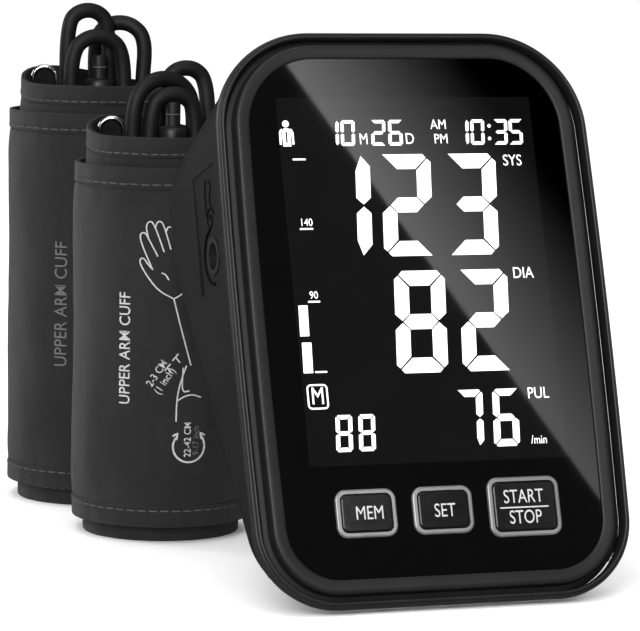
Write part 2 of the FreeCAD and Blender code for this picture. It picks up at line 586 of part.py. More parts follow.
def make_cuff(prefix, cuff):
    height = cuff["height"]
    flap_low, flap_high = cuff["flap"]
    parts = {}

    def wound(offset, thickness, trim):
        inner = wound_band(offset, thickness, 0, 1, trim, height - trim)
        flap = wound_band(offset, thickness, 2, HALF_TURNS - 1, flap_low + trim, flap_high - trim)
        return inner.fuse(flap).removeSplitter()

    parts["cuff_lining"] = wound(0.0, LINING, 0.4)
    bladder_at = LINING + LAYER_GAP
    parts["cuff_bladder"] = wound_band(bladder_at, BLADDER, 0, HALF_TURNS - 1, flap_low + 8, flap_high - 8)
    cover_at = bladder_at + BLADDER + LAYER_GAP
    parts["cuff_cover"] = wound(cover_at, COVER, 0.0)

    outside = CORE_RADIUS + PITCH / 2 + cover_at + COVER
    parts["cuff_loop_patch"] = arc_strip(roll_centre(1), outside + 0.05, 0.25, 200, 345,
                                         flap_low + 10, flap_high - 10)
    inside = CORE_RADIUS + 3 * PITCH / 2
    parts["cuff_hook_patch"] = arc_strip(roll_centre(3), inside - 0.3, 0.25, 300, 355,
                                         flap_low + 10, flap_high - 10)
    for shape in parts.values():
        shape.rotate(Vector(0, 0, 0), Z_AXIS, ROLL_TURN)

    ring_x, ring_y = place_polar(RING_PLACE, RING_ANGLE)
    ring = wire_loop(RING_WIDTH, 8.0, cuff["ring_top"] - RING_WIDTH / 2 - WIRE)
    ring.rotate(Vector(0, 0, 0), Z_AXIS, RING_ANGLE)
    ring.translate(Vector(ring_x, ring_y, 0))
    parts["cuff_ring"] = ring
    bar_x, bar_y = place_polar(RING_PLACE + RING_WIDTH / 2, RING_ANGLE)
    tab = rod(WIRE + SLEEVE, (bar_x, bar_y, 20), (bar_x, bar_y, height - 12))
    parts["cuff_ring_sleeve"] = tab.cut(rod(WIRE + 0.05, (bar_x, bar_y, 0), (bar_x, bar_y, height)))

    port_x, port_y = place_polar(PORT_PLACE, PORT_ANGLE)
    wall_centre = roll_centre(1)
    flange = arc_strip(wall_centre, CORE_RADIUS + PITCH / 2 - 0.9, 0.8, 303, 329, PORT_LOW, PORT_LOW + 18)
    flange.rotate(Vector(0, 0, 0), Z_AXIS, ROLL_TURN)
    neck_x, neck_y = place_polar(PORT_PLACE + 7.2, PORT_ANGLE)
    neck = rod(3.0, (port_x, port_y, PORT_LOW + 9), (neck_x, neck_y, PORT_LOW + 9))
    elbow = rod(3.6, (port_x, port_y, PORT_LOW + 3), (port_x, port_y, PORT_LOW + 16))
    barb = rod(2.0, (port_x, port_y, PORT_LOW + 15), (port_x, port_y, cuff["port_top"]))
    parts["hose_port"] = flange.fuse([neck, elbow, barb]).removeSplitter()

    left, right, top = cuff["hank"]
    arch = (right - left) / 2
    middle = (left + right) / 2
    oval = Part.Ellipse(Vector(middle, 0, cuff["hank_low"]), arch, HANK_HALF_DEPTH).toShape()
    slab = Part.Face(Part.Wire(oval)).extrude(Z_AXIS * (top - cuff["hank_low"]))
    crown = rod(arch + 1, (middle, -20, top - arch - 1), (middle, 20, top - arch - 1))
    slab = slab.common(crown.fuse(box(left - 3, right + 3, -20, 20, 0, top - arch - 1)))
    slab = slab.cut(box(10.6, 30, -30, 30, 0, cuff["port_top"]))
    plug_x, plug_y = cuff["plug"]
    tip = cuff["plug_tip"]
    base = tip - 29.0
    slab = slab.cut(rod(PLUG_BODY + 0.4, (plug_x, plug_y, base), (plug_x, plug_y, 200)))
    swing = RING_WIDTH + WIRE + 0.5
    slab = slab.cut(rod(swing, (bar_x, bar_y, 0), (bar_x, bar_y, 200)))
    parts["hose_hank"] = slab.removeSplitter()

    plug = rod(PLUG_BODY, (plug_x, plug_y, base), (plug_x, plug_y, tip - 8))
    plug = plug.makeFillet(1.2, [edge for edge in plug.Edges if len(edge.Vertexes) == 1
                                 and edge.Vertexes[0].Z > tip - 9])
    nozzle = rod(PLUG_TIP, (plug_x, plug_y, tip - 9), (plug_x, plug_y, tip))
    nozzle = nozzle.cut(rod(1.1, (plug_x, plug_y, tip - 6), (plug_x, plug_y, tip + 1)))
    parts["air_plug"] = plug.fuse(nozzle).removeSplitter()

    place_x, place_y = cuff["place"]
    for name, shape in parts.items():
        shape.translate(Vector(place_x, place_y, 0))
        shapes[prefix + "_" + name] = shape
    print(prefix, "ring bar", round(place_x + bar_x, 3), round(place_y + bar_y, 3))
    print(prefix, "port", round(place_x + port_x, 3), round(place_y + port_y, 3))


# --------------------------------------------------------------------- build

make_rear_cover()
make_front_housing()
make_trim_ring()
make_window()
make_display()
make_buttons()
make_board()
make_air_jack()
make_pump()
make_valve()
make_tubing()
make_battery_bay()
make_fasteners()
for name in list(shapes):
    shapes[name] = stand_up(shapes[name])
for prefix, cuff in CUFFS.items():
    make_cuff(prefix, cuff)

on_cords = [name for name in shapes if name.endswith(("hose_hank", "air_plug"))]
whole = Part.makeCompound([shapes[name] for name in shapes if name not in on_cords])
whole = whole.optimalBoundingBox(False, False)
shift = Vector(-(whole.XMin + whole.XMax) / 2, -(whole.YMin + whole.YMax) / 2, -whole.ZMin)

os.makedirs("parts", exist_ok=True)
for name, shape in shapes.items():
    shape.translate(shift)
    shape.exportStep("parts/" + name + ".step")
    state = "ok" if shape.isValid() and len(shape.Solids) > 0 else "BAD"
    print("%-24s %s solids %d volume %.1f" % (name, state, len(shape.Solids), shape.Volume))
print("size", round(whole.XLength, 2), round(whole.YLength, 2), round(whole.ZLength, 2))
print("shift", [round(value, 4) for value in shift])
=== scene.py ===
import bpy
import bmesh
import json
import math
from mathutils import Matrix, Vector, noise


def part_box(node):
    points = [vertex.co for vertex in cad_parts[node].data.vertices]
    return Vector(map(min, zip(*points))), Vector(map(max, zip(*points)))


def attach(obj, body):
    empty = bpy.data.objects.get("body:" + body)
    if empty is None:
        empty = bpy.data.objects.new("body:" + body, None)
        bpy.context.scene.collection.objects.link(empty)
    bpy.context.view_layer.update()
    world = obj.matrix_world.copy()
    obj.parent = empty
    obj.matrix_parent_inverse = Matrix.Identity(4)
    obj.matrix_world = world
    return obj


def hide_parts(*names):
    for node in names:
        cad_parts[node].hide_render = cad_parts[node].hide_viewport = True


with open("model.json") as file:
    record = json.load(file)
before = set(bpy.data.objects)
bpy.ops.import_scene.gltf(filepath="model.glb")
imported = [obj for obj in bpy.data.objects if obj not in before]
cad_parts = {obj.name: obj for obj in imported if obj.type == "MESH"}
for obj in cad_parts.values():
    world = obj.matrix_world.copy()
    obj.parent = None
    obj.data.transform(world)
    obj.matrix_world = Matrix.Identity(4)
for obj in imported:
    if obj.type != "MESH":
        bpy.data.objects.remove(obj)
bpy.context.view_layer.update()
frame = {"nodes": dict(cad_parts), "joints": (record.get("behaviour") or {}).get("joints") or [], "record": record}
record = frame["record"]
nodes = frame["nodes"]
scene = bpy.context.scene
MM = 0.001

# ---------- the frame

joints = {joint["name"]: joint for joint in frame["joints"]}
INWARD = Vector(joints["mem_press"]["axis"])        # from the face into the monitor
ACROSS = Vector((1, 0, 0))
UP_FACE = ACROSS.cross(INWARD)                      # along the face, upwards
FACE_AXES = Matrix((ACROSS, INWARD, UP_FACE)).transposed()
WINDOW_INSET = 8.5                                  # mm, face's outer edge to window


def face_box(node):
    """The node's lowest and highest corner along the face's own axes."""
    inverse = FACE_AXES.transposed()
    points = [inverse @ vertex.co for vertex in nodes[node].data.vertices]
    low = Vector([min(p[i] for p in points) for i in range(3)])
    high = Vector([max(p[i] for p in points) for i in range(3)])
    return low, high


window_low, window_high = face_box("display_window")
FACE_ORIGIN = Vector(((window_low.x + window_high.x) / 2, window_low.y,
                      window_low.z - WINDOW_INSET * MM))


def on_face(x, z, depth=0.0):
    """A point of the monitor: mm across, up its face and back into the body."""
    return FACE_AXES @ (FACE_ORIGIN + Vector((x, depth, z)) * MM)


# ---------- materials

def new_tree(name):
    material = bpy.data.materials.new(name)
    material.use_nodes = True
    tree = material.node_tree
    return material, tree, tree.nodes["Principled BSDF"]


def set_inputs(tree, node, inputs):
    for key, value in inputs.items():
        if isinstance(value, bpy.types.NodeSocket):
            tree.links.new(value, node.inputs[key])
        else:
            node.inputs[key].default_value = value


def add(tree, kind, inputs=None, **settings):
    node = tree.nodes.new(kind)
    for key, value in settings.items():
        setattr(node, key, value)
    set_inputs(tree, node, inputs or {})
    return node


def math_node(tree, operation, a, b=0.0, c=None):
    inputs = {0: a, 1: b}
    if c is not None:
        inputs[2] = c
    return add(tree, "ShaderNodeMath", inputs, operation=operation).outputs[0]


def noise_node(tree, scale, detail, rough=0.55, vector=None, stretch=None):
    if vector is None:
        vector = add(tree, "ShaderNodeTexCoord").outputs["Object"]
    if stretch:
        vector = add(tree, "ShaderNodeMapping", {"Vector": vector, "Scale": stretch}).outputs[0]
    inputs = {"Vector": vector, "Scale": scale, "Detail": detail, "Roughness": rough}
    return add(tree, "ShaderNodeTexNoise", inputs).outputs["Fac"]


def spread(tree, value, low, high):
    inputs = {"Value": value, "From Min": 0.25, "From Max": 0.75, "To Min": low, "To Max": high}
    return add(tree, "ShaderNodeMapRange", inputs).outputs[0]


def tint(tree, value, dark, light):
    ramp = add(tree, "ShaderNodeValToRGB", {"Fac": value})
    ramp.color_ramp.elements[0].position = 0.3
    ramp.color_ramp.elements[1].position = 0.7
    ramp.color_ramp.elements[0].color = (*dark, 1)
    ramp.color_ramp.elements[1].color = (*light, 1)
    return ramp.outputs["Color"]


def bumped(tree, height, strength, distance):
    inputs = {"Height": height, "Strength": strength, "Distance": distance}
    return add(tree, "ShaderNodeBump", inputs).outputs[0]


SPECULAR, SHEEN = "Specular IOR Level", "Sheen Weight"
GRAIN_DEPTH, THREAD_DEPTH = 0.00012, 0.0002         # m


def plastic(name, dark, light, rough, grain_scale, grain, **fixed):
    """Moulded plastic, rubber or metal: mottled colour, uneven gloss and a fine grain."""
    material, tree, shader = new_tree(name)
    cloud = noise_node(tree, 60.0, 4.0)
    speckle = noise_node(tree, grain_scale * 0.4, 2.0)
    smear = math_node(tree, "MULTIPLY_ADD", cloud, 0.5, math_node(tree, "MULTIPLY", speckle, 0.5))
    grains = noise_node(tree, grain_scale, 2.0, 0.6)
    set_inputs(tree, shader, {"Base Color": tint(tree, cloud, dark, light),
                              "Roughness": spread(tree, smear, *rough),
                              "Normal": bumped(tree, grains, grain, GRAIN_DEPTH), **fixed})
    return material


def woven(name, dark, light, rough, pitch, depth, **fixed):
    """Cloth with crossing threads, pitch in mm, drawn in the cloth's own coordinates (mm)."""
    material, tree, shader = new_tree(name)
    uv = add(tree, "ShaderNodeUVMap", uv_map="cloth").outputs[0]
    parts = add(tree, "ShaderNodeSeparateXYZ", {0: uv})
    across, along = (math_node(tree, "SINE", math_node(tree, "MULTIPLY", way, 2 * math.pi / pitch))
                     for way in parts.outputs[:2])
    crossing = math_node(tree, "MULTIPLY", across, along)
    threads = math_node(tree, "MULTIPLY_ADD", math_node(tree, "ABSOLUTE", across), 0.4,
                        math_node(tree, "MULTIPLY", crossing, 0.5))
    fuzz = noise_node(tree, 1.6, 3.0, vector=uv)
    height = math_node(tree, "MULTIPLY_ADD", fuzz, 0.6, threads)
    # The colour follows the weave's height, darker in the hollows between threads as painted shade, with broad
    # blotches of tone that stand in for painted sheen.
    cloud = noise_node(tree, 0.055, 4.0, 0.6, vector=uv, stretch=(1.0, 0.35, 1.0))
    painted_weave_shade_and_sheen = math_node(tree, "MULTIPLY_ADD", height, 0.16, cloud)
    set_inputs(tree, shader, {"Base Color": tint(tree, painted_weave_shade_and_sheen, dark, light),
                              "Roughness": spread(tree, fuzz, *rough),
                              "Normal": bumped(tree, height, depth, THREAD_DEPTH), **fixed})
    return material


def print_ink(name, dark, light, glow=0.0):
    material, tree, shader = new_tree(name)
    wear = noise_node(tree, 900.0, 4.0, 0.7)
    colour = tint(tree, wear, dark, light)
    inputs = {"Base Color": colour, "Roughness": spread(tree, wear, 0.5, 0.7)}
    if glow:
        inputs.update({"Emission Color": colour, "Emission Strength": glow, SPECULAR: 0.1})
    set_inputs(tree, shader, inputs)
    return material


def grey(value, warm=0.0):
    return (value * (1 + warm), value, value * (1 - warm))


GLOSS_FACE = {SPECULAR: 0.5, "IOR": 1.5}
slot_materials = {
    "case_black": plastic("moulded_black_case", grey(.0048), grey(.0072), (.38, .48), 2600, .5,
                          **{SPECULAR: 0.28}),
    "bezel_grey": plastic("satin_grey_bezel", grey(.0125), grey(.0165), (.40, .50), 3000, .35,
                          **{SPECULAR: 0.4}),
    "trim_grey": plastic("satin_trim", grey(.014), grey(.018), (.34, .44), 3000, .3),
    "window_black": plastic("black_glass", grey(.0001), grey(.0003), (.015, .03), 200, .0,
                            **GLOSS_FACE),
    "lcd_glass": plastic("display_glass", grey(.0035), grey(.0045), (.015, .03), 200, .0,
                         **GLOSS_FACE),
    "clear_plastic": plastic("light_guide", grey(.6), grey(.75), (.1, .2), 900, .2,
                             **{"Transmission Weight": 0.6}),
    "white_plastic": plastic("white_moulding", grey(.62, .02), grey(.72, .02), (.4, .55), 2000, .3),
    "button_chrome": plastic("bright_button_ring", grey(.30), grey(.42), (.30, .40), 1500, .08,
                             Metallic=.7),
    "button_gloss": plastic("gloss_button", grey(.0018), grey(.003), (.12, .2), 1200, .05,
                            **{"Coat Weight": 0.4, "Coat Roughness": 0.08}),
    "inner_plastic": plastic("inner_moulding", grey(.016), grey(.026), (.4, .6), 2200, .4),
    "circuit_board": plastic("solder_mask", (.006, .05, .02), (.01, .08, .03), (.25, .4), 1500, .4),
    "jack_plastic": plastic("socket_moulding", grey(.010), grey(.016), (.34, .48), 2600, .4),
    "motor_metal": plastic("plated_motor", grey(.42), grey(.55), (.25, .4), 1800, .2, Metallic=1.0),
    "steel": plastic("plated_steel", grey(.45), grey(.6), (.2, .38), 1800, .2, Metallic=1.0),
    "soft_rubber": plastic("soft_rubber", grey(.014), grey(.024), (.6, .8), 2400, .6),
    "cell_metal": plastic("cell_sleeve", (.10, .12, .16), (.16, .18, .22), (.25, .4), 1500, .15,
                          Metallic=.8),
    "cuff_fabric": woven("cuff_weave", grey(.009), grey(.017), (.62, .78), 0.55, .55,
                         **{SHEEN: 0.12, "Sheen Roughness": 0.5, SPECULAR: 0.3}),
    "lining_fabric": woven("lining_weave", grey(.007), grey(.013), (.7, .85), 0.45, .6,
                           **{SHEEN: 0.1, SPECULAR: 0.2}),
    "bladder_rubber": plastic("bladder_rubber", grey(.02), grey(.035), (.5, .7), 1800, .3),
    "loop_fabric": plastic("looped_pile", grey(.01), grey(.03), (.8, .95), 2200, 1.0,
                           **{SHEEN: .5}),
    "hook_fabric": plastic("hook_pile", grey(.01), grey(.025), (.6, .8), 1500, 1.0),
    "ring_chrome": plastic("polished_wire", grey(.72), grey(.86), (.06, .14), 900, .05, Metallic=1.0),
    "hose_rubber": plastic("hose_rubber", grey(.0040), grey(.0065), (.52, .64), 2200, .3,
                           **{SPECULAR: 0.35}),
}


def dress(mesh, material, sharp):
    """Gives the mesh its material and, if sharp is an angle, smooth shading up to it."""
    mesh.materials.clear()
    mesh.materials.append(material)
    if sharp:
        mesh.polygons.foreach_set("use_smooth", [True] * len(mesh.polygons))
        mesh.set_sharp_from_angle(angle=math.radians(sharp))


CAD_SHARP = 32              # degrees
for part in record["subparts"]:
    dress(nodes[part["node"]].data, slot_materials[part["material_slot"]], CAD_SHARP)

thread_dark = plastic("thread_charcoal", grey(.075), grey(.11), (.6, .8), 3000, .6)
ink_white = print_ink("white_print", grey(.40), grey(.62))
ink_grey = print_ink("grey_print", grey(.10), grey(.16))
segment_glow = print_ink("lit_segments", grey(.90), grey(1.0), 0.75)
# White print on the button caps, with a faint painted glow though the caps hold no lamp.
cap_print_with_painted_glow = print_ink("button_print", grey(.50), grey(.70), 0.12)


# ---------- mesh helpers

def finish_piece(obj, body, slot_name, replaced=(), material=None, sharp=35):
    dress(obj.data, material or slot_materials[slot_name], sharp)
    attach(obj, body)
    if replaced:
        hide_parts(*replaced)
    return obj


def linked(name, data):
    """A new object in the scene."""
    obj = bpy.data.objects.new(name, data)
    scene.collection.objects.link(obj)
    return obj


def mesh_object(name, points, faces, uvs=None):
    mesh = bpy.data.meshes.new(name)
    mesh.from_pydata([tuple(p) for p in points], [], faces)
    if uvs is not None:
        layer = mesh.uv_layers.new(name="cloth")
        for loop in mesh.loops:
            layer.data[loop.index].uv = uvs[loop.vertex_index]
    mesh.validate()
    return linked(name, mesh)


def closed_object(name, points, faces, uvs=None):
    """A closed mesh, its faces all turned outwards."""
    obj = mesh_object(name, points, faces, uvs)
    work = bmesh.new()
    work.from_mesh(obj.data)
    bmesh.ops.recalc_face_normals(work, faces=work.faces)
    work.to_mesh(obj.data)
    work.free()
    return obj


def tube_faces(rings, sides, joined=False):
    """Faces between rings of points; the last ring meets the first, or both ends are closed."""
    faces = []
    for i in range(rings if joined else rings - 1):
        a, b = i * sides, (i + 1) % rings * sides
        for j in range(sides):
            k = (j + 1) % sides
            faces.append((a + j, a + k, b + k, b + j))
    if not joined:
        faces.append(tuple(reversed(range(sides))))
        faces.append(tuple(range((rings - 1) * sides, rings * sides)))
    return faces


class Bundle:
    """Many small closed shapes gathered into one piece."""

    def __init__(self):
        self.points, self.faces = [], []

    def take(self, points, faces):
        base = len(self.points)
        self.points += points
        self.faces += [tuple(base + i for i in face) for face in faces]

    def build(self, name):
        return closed_object(name, self.points, self.faces)


def curve_mesh(name, curve):
    """The mesh that the curve makes."""
    obj = linked(name, curve)
    mesh = bpy.data.meshes.new_from_object(
        obj.evaluated_get(bpy.context.evaluated_depsgraph_get()))
    bpy.data.objects.remove(obj)
    mesh.name = name
    return mesh


CAPITAL = 0.69              # height of a capital in lettering of size 1


def text_mesh(name, words, size, bold, thickness=0.0):
    """Lettering about the origin, its capitals size high."""
    curve = bpy.data.curves.new(name, "FONT")
    curve.body = words
    curve.align_x, curve.align_y = "CENTER", "CENTER"
    curve.size = size / CAPITAL
    curve.offset, curve.extrude = bold, thickness
    curve.resolution_u = 4
    return curve_mesh(name, curve)


def tube_curve(name, kind, places, radius, roundness):
    """A round tube along a spline of this kind through the places."""
    curve = bpy.data.curves.new(name, "CURVE")
    curve.dimensions = "3D"
    spline = curve.splines.new(kind)
    spline.points.add(len(places) - 1)
    for point, place in zip(spline.points, places):
        point.co = (*place, 1)
    curve.bevel_depth = radius
    curve.bevel_resolution = roundness
    return curve, spline


# ---------- the monitor

FACE_WIDTH, FACE_HEIGHT = 116.0, 171.4
WIDEST_Z, SIDE_RADIUS = 82.0, 2600.0
TOP_CORNER, LOW_CORNER = 30.0, 24.0
CORNER_STEPS, SIDE_STEPS, FLAT_STEPS = 28, 24, 10


def outline(inset):
    """Points round the face, anticlockwise from its lower right, moved in by inset (mm)."""
    side_x = FACE_WIDTH / 2 - SIDE_RADIUS
    corners = []
    for radius, z in ((LOW_CORNER, LOW_CORNER), (TOP_CORNER, FACE_HEIGHT - TOP_CORNER)):
        x = side_x + math.sqrt((SIDE_RADIUS - radius) ** 2 - (z - WIDEST_Z) ** 2)
        corners.append((x, z, radius - inset, math.atan2(z - WIDEST_Z, x - side_x)))
    (low_x, low_z, low_r, low_tilt), (top_x, top_z, top_r, top_tilt) = corners
    right = []

    def arc(x, z, radius, start, end, steps):
        for i in range(steps):
            a = start + (end - start) * i / steps
            right.append((x + radius * math.cos(a), z + radius * math.sin(a)))

    arc(low_x, low_z, low_r, -math.pi / 2, low_tilt, CORNER_STEPS)
    arc(side_x, WIDEST_Z, SIDE_RADIUS - inset, low_tilt, top_tilt, SIDE_STEPS)
    arc(top_x, top_z, top_r, top_tilt, math.pi / 2, CORNER_STEPS)
    right.append((top_x, top_z + top_r))
    left = [(-x, z) for x, z in reversed(right)]
    top = [(top_x * (1 - 2 * i / FLAT_STEPS), top_z + top_r) for i in range(1, FLAT_STEPS)]
    bottom = [(low_x * (-1 + 2 * i / FLAT_STEPS), inset) for i in range(1, FLAT_STEPS)]
    return right + top + left + bottom


def framed_section(name, section, wider=0.0):
    """A closed section of (inset, depth) points, carried round the face's outline."""
    stretch = 1 + wider / (FACE_WIDTH / 2)
    points = [on_face(x * stretch, z, depth) for inset, depth in section
              for x, z in outline(inset)]
    faces = tube_faces(len(section), len(points) // len(section), joined=True)
    return closed_object(name, points, faces)


BEZEL_SECTION = (
    (8.35, 2.05), (8.35, -0.1), (8.33, -0.35), (8.2, -0.5), (7.9, -0.65), (7.4, -0.72), (6.4, -0.9),
    (5.6, -1.0), (5.0, -0.95), (4.6, -0.75), (4.35, -0.4), (4.2, 0.1), (4.1, 0.8), (4.05, 1.6),
    (4.0, 2.5), (3.9, 3.2), (2.7, 3.4), (2.3, 3.6), (2.2, 4.2), (2.0, 4.3), (1.75, 4.35),
    (1.7, 4.6), (1.7, 6.2), (3.05, 6.2), (3.05, 8.5), (4.0, 8.5), (4.0, 4.2),
    (8.0, 4.2), (8.35, 4.0),
)
TRIM_SECTION = (
    (2.05, 4.1), (2.05, 0.6), (2.0, 0.2), (1.85, -0.1), (1.6, -0.22), (1.35, -0.15), (1.15, 0.1),
    (1.05, 0.4), (1.0, 0.62), (0.85, 0.7), (0.72, 0.62), (0.55, 0.7), (0.35, 0.95), (0.12, 1.4),
    (0.02, 1.9), (0.0, 2.6), (0.05, 3.2), (0.25, 3.7), (0.6, 4.0), (0.85, 4.2), (0.9, 4.6),
    (0.95, 6.2), (1.6, 6.2), (1.65, 4.25),
)
TRIM_WIDER = 1.05           # mm, how far the trim stands out at the sides
bezel = framed_section("front_bezel", BEZEL_SECTION)
finish_piece(bezel, "monitor", "bezel_grey", ["front_housing"], sharp=50)
trim = framed_section("side_trim_band", TRIM_SECTION, TRIM_WIDER)
finish_piece(trim, "monitor", "trim_grey", ["trim_ring"], sharp=50)


# ---------- the display

# Depths from the front of the window, mm.
LCD_FRONT, LCD_BACK = -0.02, -0.002
PRINT_FRONT, PRINT_BACK = -0.05, -0.015
OVERPRINT = 0.02            # mm, a print upon a print
LETTER_DEPTH = 0.012
LEAN_OF_DIGITS = 0.066


def rounded_rect(x0, x1, z0, z1, radius, grow=0.0):
    """A rectangle with round corners, grown outwards in mm."""
    found = []
    for cx, cz, start in ((x1 - radius, z1 - radius, 0), (x0 + radius, z1 - radius, 90),
                          (x0 + radius, z0 + radius, 180), (x1 - radius, z0 + radius, 270)):
        for step in range(7):
            a = math.radians(start + 15 * step)
            found.append((cx + (radius + grow) * math.cos(a), cz + (radius + grow) * math.sin(a)))
    return found


class Plate(Bundle):
    """Flat prints gathered into one piece: closed prisms standing on the face."""

    def prism(self, corners, front=PRINT_FRONT, back=PRINT_BACK):
        points = [on_face(x, z, depth) for depth in (front, back) for x, z in corners]
        self.take(points, tube_faces(2, len(corners)))

    def bar(self, x0, x1, z0, z1, **depths):
        self.prism([(x0, z0), (x1, z0), (x1, z1), (x0, z1)], **depths)

    def disc(self, x, z, radius, steps=20):
        turn = 2 * math.pi / steps
        self.prism([(x + radius * math.cos(i * turn), z + radius * math.sin(i * turn))
                    for i in range(steps)])

    def frame(self, x0, x1, z0, z1, radius, stroke):
        """A rounded rectangle's outline, as short straight strips."""
        outer = rounded_rect(x0, x1, z0, z1, radius)
        inner = rounded_rect(x0, x1, z0, z1, radius, -stroke)
        for i in range(len(outer)):
            j = (i + 1) % len(outer)
            self.prism([outer[i], outer[j], inner[j], inner[i]])


SEGMENTS_OF = {"0": "abcdef", "1": "bc", "2": "abged", "3": "abgcd", "4": "fgbc", "5": "afgcd",
               "6": "afgedc", "7": "abc", "8": "abcdefg"}


def digit(plate, character, x, z, width, height, stroke, gap):
    """One seven-segment digit with mitred, slightly rounded corners."""
    lit = SEGMENTS_OF[character]
    half, t, g = height / 2, stroke, gap
    k = 0.55 * t

    def half_digit(up):
        """Segments above (up = 1) or below the middle, drawn as if above."""
        side_left, side_right, end = ("f", "b", "a") if up > 0 else ("e", "c", "d")
        found = []

        def end_corner(lit_side):
            if lit_side in lit and end in lit:
                return [(k / 2 + g / 2, half - k / 2 + g / 4), (k, half)]
            return [(g, half)]

        if end in lit:
            left = end_corner(side_left)
            right = [(width - px, pz) for px, pz in reversed(end_corner(side_right))]
            found.append(left + right + [(width - t - g, half - t), (t + g, half - t)])
        for side, name in ((0, side_left), (1, side_right)):
            if name not in lit:
                continue
            if end in lit:
                tip = [(k / 2 - g / 4, half - k / 2 - g / 2), (0, half - k)]
            else:
                tip = [(t * 0.62, half - g), (0, half - t * 0.8)]
            joined = [(0, 0.52 * t), (t / 2, g * 0.8), (t, 0.52 * t)]
            shape = tip + joined + [(t, half - t - g)]
            found.append([(width - px, pz) if side else (px, pz) for px, pz in shape])
        return found

    shapes = [[(px, half + pz) for px, pz in s] for s in half_digit(1)]
    shapes += [[(px, half - pz) for px, pz in s] for s in half_digit(-1)]
    if "g" in lit:
        tip = t / 2 + g * 0.8
        shoulder = tip + t / 2
        shapes.append([(tip, half), (shoulder, half + t / 2), (width - shoulder, half + t / 2),
                       (width - tip, half), (width - shoulder, half - t / 2),
                       (shoulder, half - t / 2)])
    for shape in shapes:
        plate.prism([(x + px + pz * LEAN_OF_DIGITS, z + pz) for px, pz in shape])


def face_text(name, words, x, z, size, squeeze, body, slot_name, material, front=PRINT_FRONT,
              bold=0.0):
    """Flat lettering on the face, its middle at x, z and its capitals size mm high."""
    mesh = text_mesh(name, words, size * MM, bold * MM, LETTER_DEPTH * MM)
    turned = Matrix((ACROSS * squeeze, UP_FACE, -INWARD)).transposed().to_4x4()
    mesh.transform(Matrix.Translation(on_face(x, z, front)) @ turned)
    finish_piece(linked(name, mesh), body, slot_name, material=material, sharp=None)


screen = Plate()
screen.prism(rounded_rect(-40.0, 40.0, 41.4, 151.1, 0.5), LCD_FRONT, LCD_BACK)
finish_piece(screen.build("display_area"), "monitor", "lcd_glass", sharp=None)

BIG = (4.5, 0.42)           # stroke and gap, mm
DATE_Z = 136.4              # mm, the foot of the date and time
segments = Plate()
for character, x, z, width, height, (stroke, gap) in (
        ("1", -30.1, 102.9, 15.5, 30.8, BIG), ("2", -11.0, 102.9, 15.5, 30.8, BIG),
        ("3", 9.7, 102.9, 15.5, 30.8, BIG),
        ("8", -10.6, 67.9, 15.9, 30.5, BIG), ("2", 9.9, 67.9, 15.2, 30.5, BIG),
        ("7", 6.2, 45.6, 8.0, 16.8, (2.1, 0.3)), ("6", 17.3, 45.3, 8.1, 17.1, (2.1, 0.3)),
        ("8", -31.6, 45.4, 5.1, 10.8, (1.25, 0.22)), ("8", -24.6, 45.4, 5.1, 10.8, (1.25, 0.22)),
        *((character, x, DATE_Z, width, 7.8, (1.0, 0.2)) for character, x, width in (
            ("1", -26.1, 4.4), ("0", -21.1, 4.4), ("2", -11.6, 4.5), ("6", -6.2, 4.5),
            ("1", 14.9, 4.4), ("0", 19.9, 4.4), ("3", 27.3, 4.4), ("5", 32.2, 4.4)))):
    digit(segments, character, x, z, width, height, stroke, gap)
for z in (138.3, 142.2):    # the colon
    segments.disc(25.9 + (z - DATE_Z) * LEAN_OF_DIGITS, z, 0.55, 12)
for x0, x1, z0, z1 in ((-36.5, -32.5, 132.2, 132.7), (-36.3, -32.2, 111.3, 111.8),
                       (-35.9, -32.2, 89.6, 90.1), (-35.8, -32.1, 68.8, 69.3)):
    segments.bar(x0, x1, z0, z1)
segments.prism([(-39.3, 79.7), (-36.5, 79.7), (-36.2, 88.8), (-39.0, 88.8)])
segments.prism([(-39.3, 68.8), (-36.4, 68.8), (-36.1, 77.8), (-39.0, 77.8)])
segments.frame(-38.9, -32.5, 58.1, 65.5, 1.3, 0.5)
segments.disc(-37.7, 143.2, 1.05)
for limb in (        # the person's body and arms
        ((-39.0, 136.4), (-36.5, 136.4), (-36.4, 140.9), (-36.9, 141.8), (-38.5, 141.8),
         (-39.0, 140.9)),
        ((-40.0, 137.0), (-39.45, 136.9), (-39.25, 140.6), (-38.9, 141.8), (-39.5, 141.5),
         (-39.95, 140.6)),
        ((-36.05, 136.9), (-35.5, 137.0), (-35.5, 140.6), (-35.9, 141.5), (-36.6, 141.8),
         (-36.2, 140.6))):
    segments.prism(limb)
finish_piece(segments.build("display_segments"), "monitor", "lcd_glass",
             material=segment_glow, sharp=None)

face_text("user_number", "1", -37.75, 138.9, 3.3, 0.9, "monitor", "lcd_glass",
          slot_materials["window_black"], PRINT_FRONT - OVERPRINT, 0.04)
for name, words, x, z, size, squeeze in (
        ("month_mark", "M", -13.9, 138.3, 3.3, 0.78), ("day_mark", "D", 0.6, 138.3, 3.3, 0.85),
        ("morning_mark", "AM", 10.1, 142.6, 2.9, 0.85), ("evening_mark", "PM", 10.5, 138.2, 2.9, 0.85),
        ("upper_mark", "SYS", 32.5, 131.4, 3.3, 0.85), ("lower_mark", "DIA", 32.1, 97.0, 3.3, 0.85),
        ("pulse_mark", "PUL", 32.8, 60.7, 3.3, 0.85), ("rate_mark", "/min", 31.6, 46.8, 2.5, 0.8),
        ("scale_high", "140", -34.2, 113.4, 2.2, 0.85), ("scale_low", "90", -34.0, 91.7, 2.2, 0.85),
        ("memory_mark", "M", -35.7, 61.8, 5.0, 0.75)):
    face_text(name, words, x, z, size, squeeze, "monitor", "lcd_glass", segment_glow)

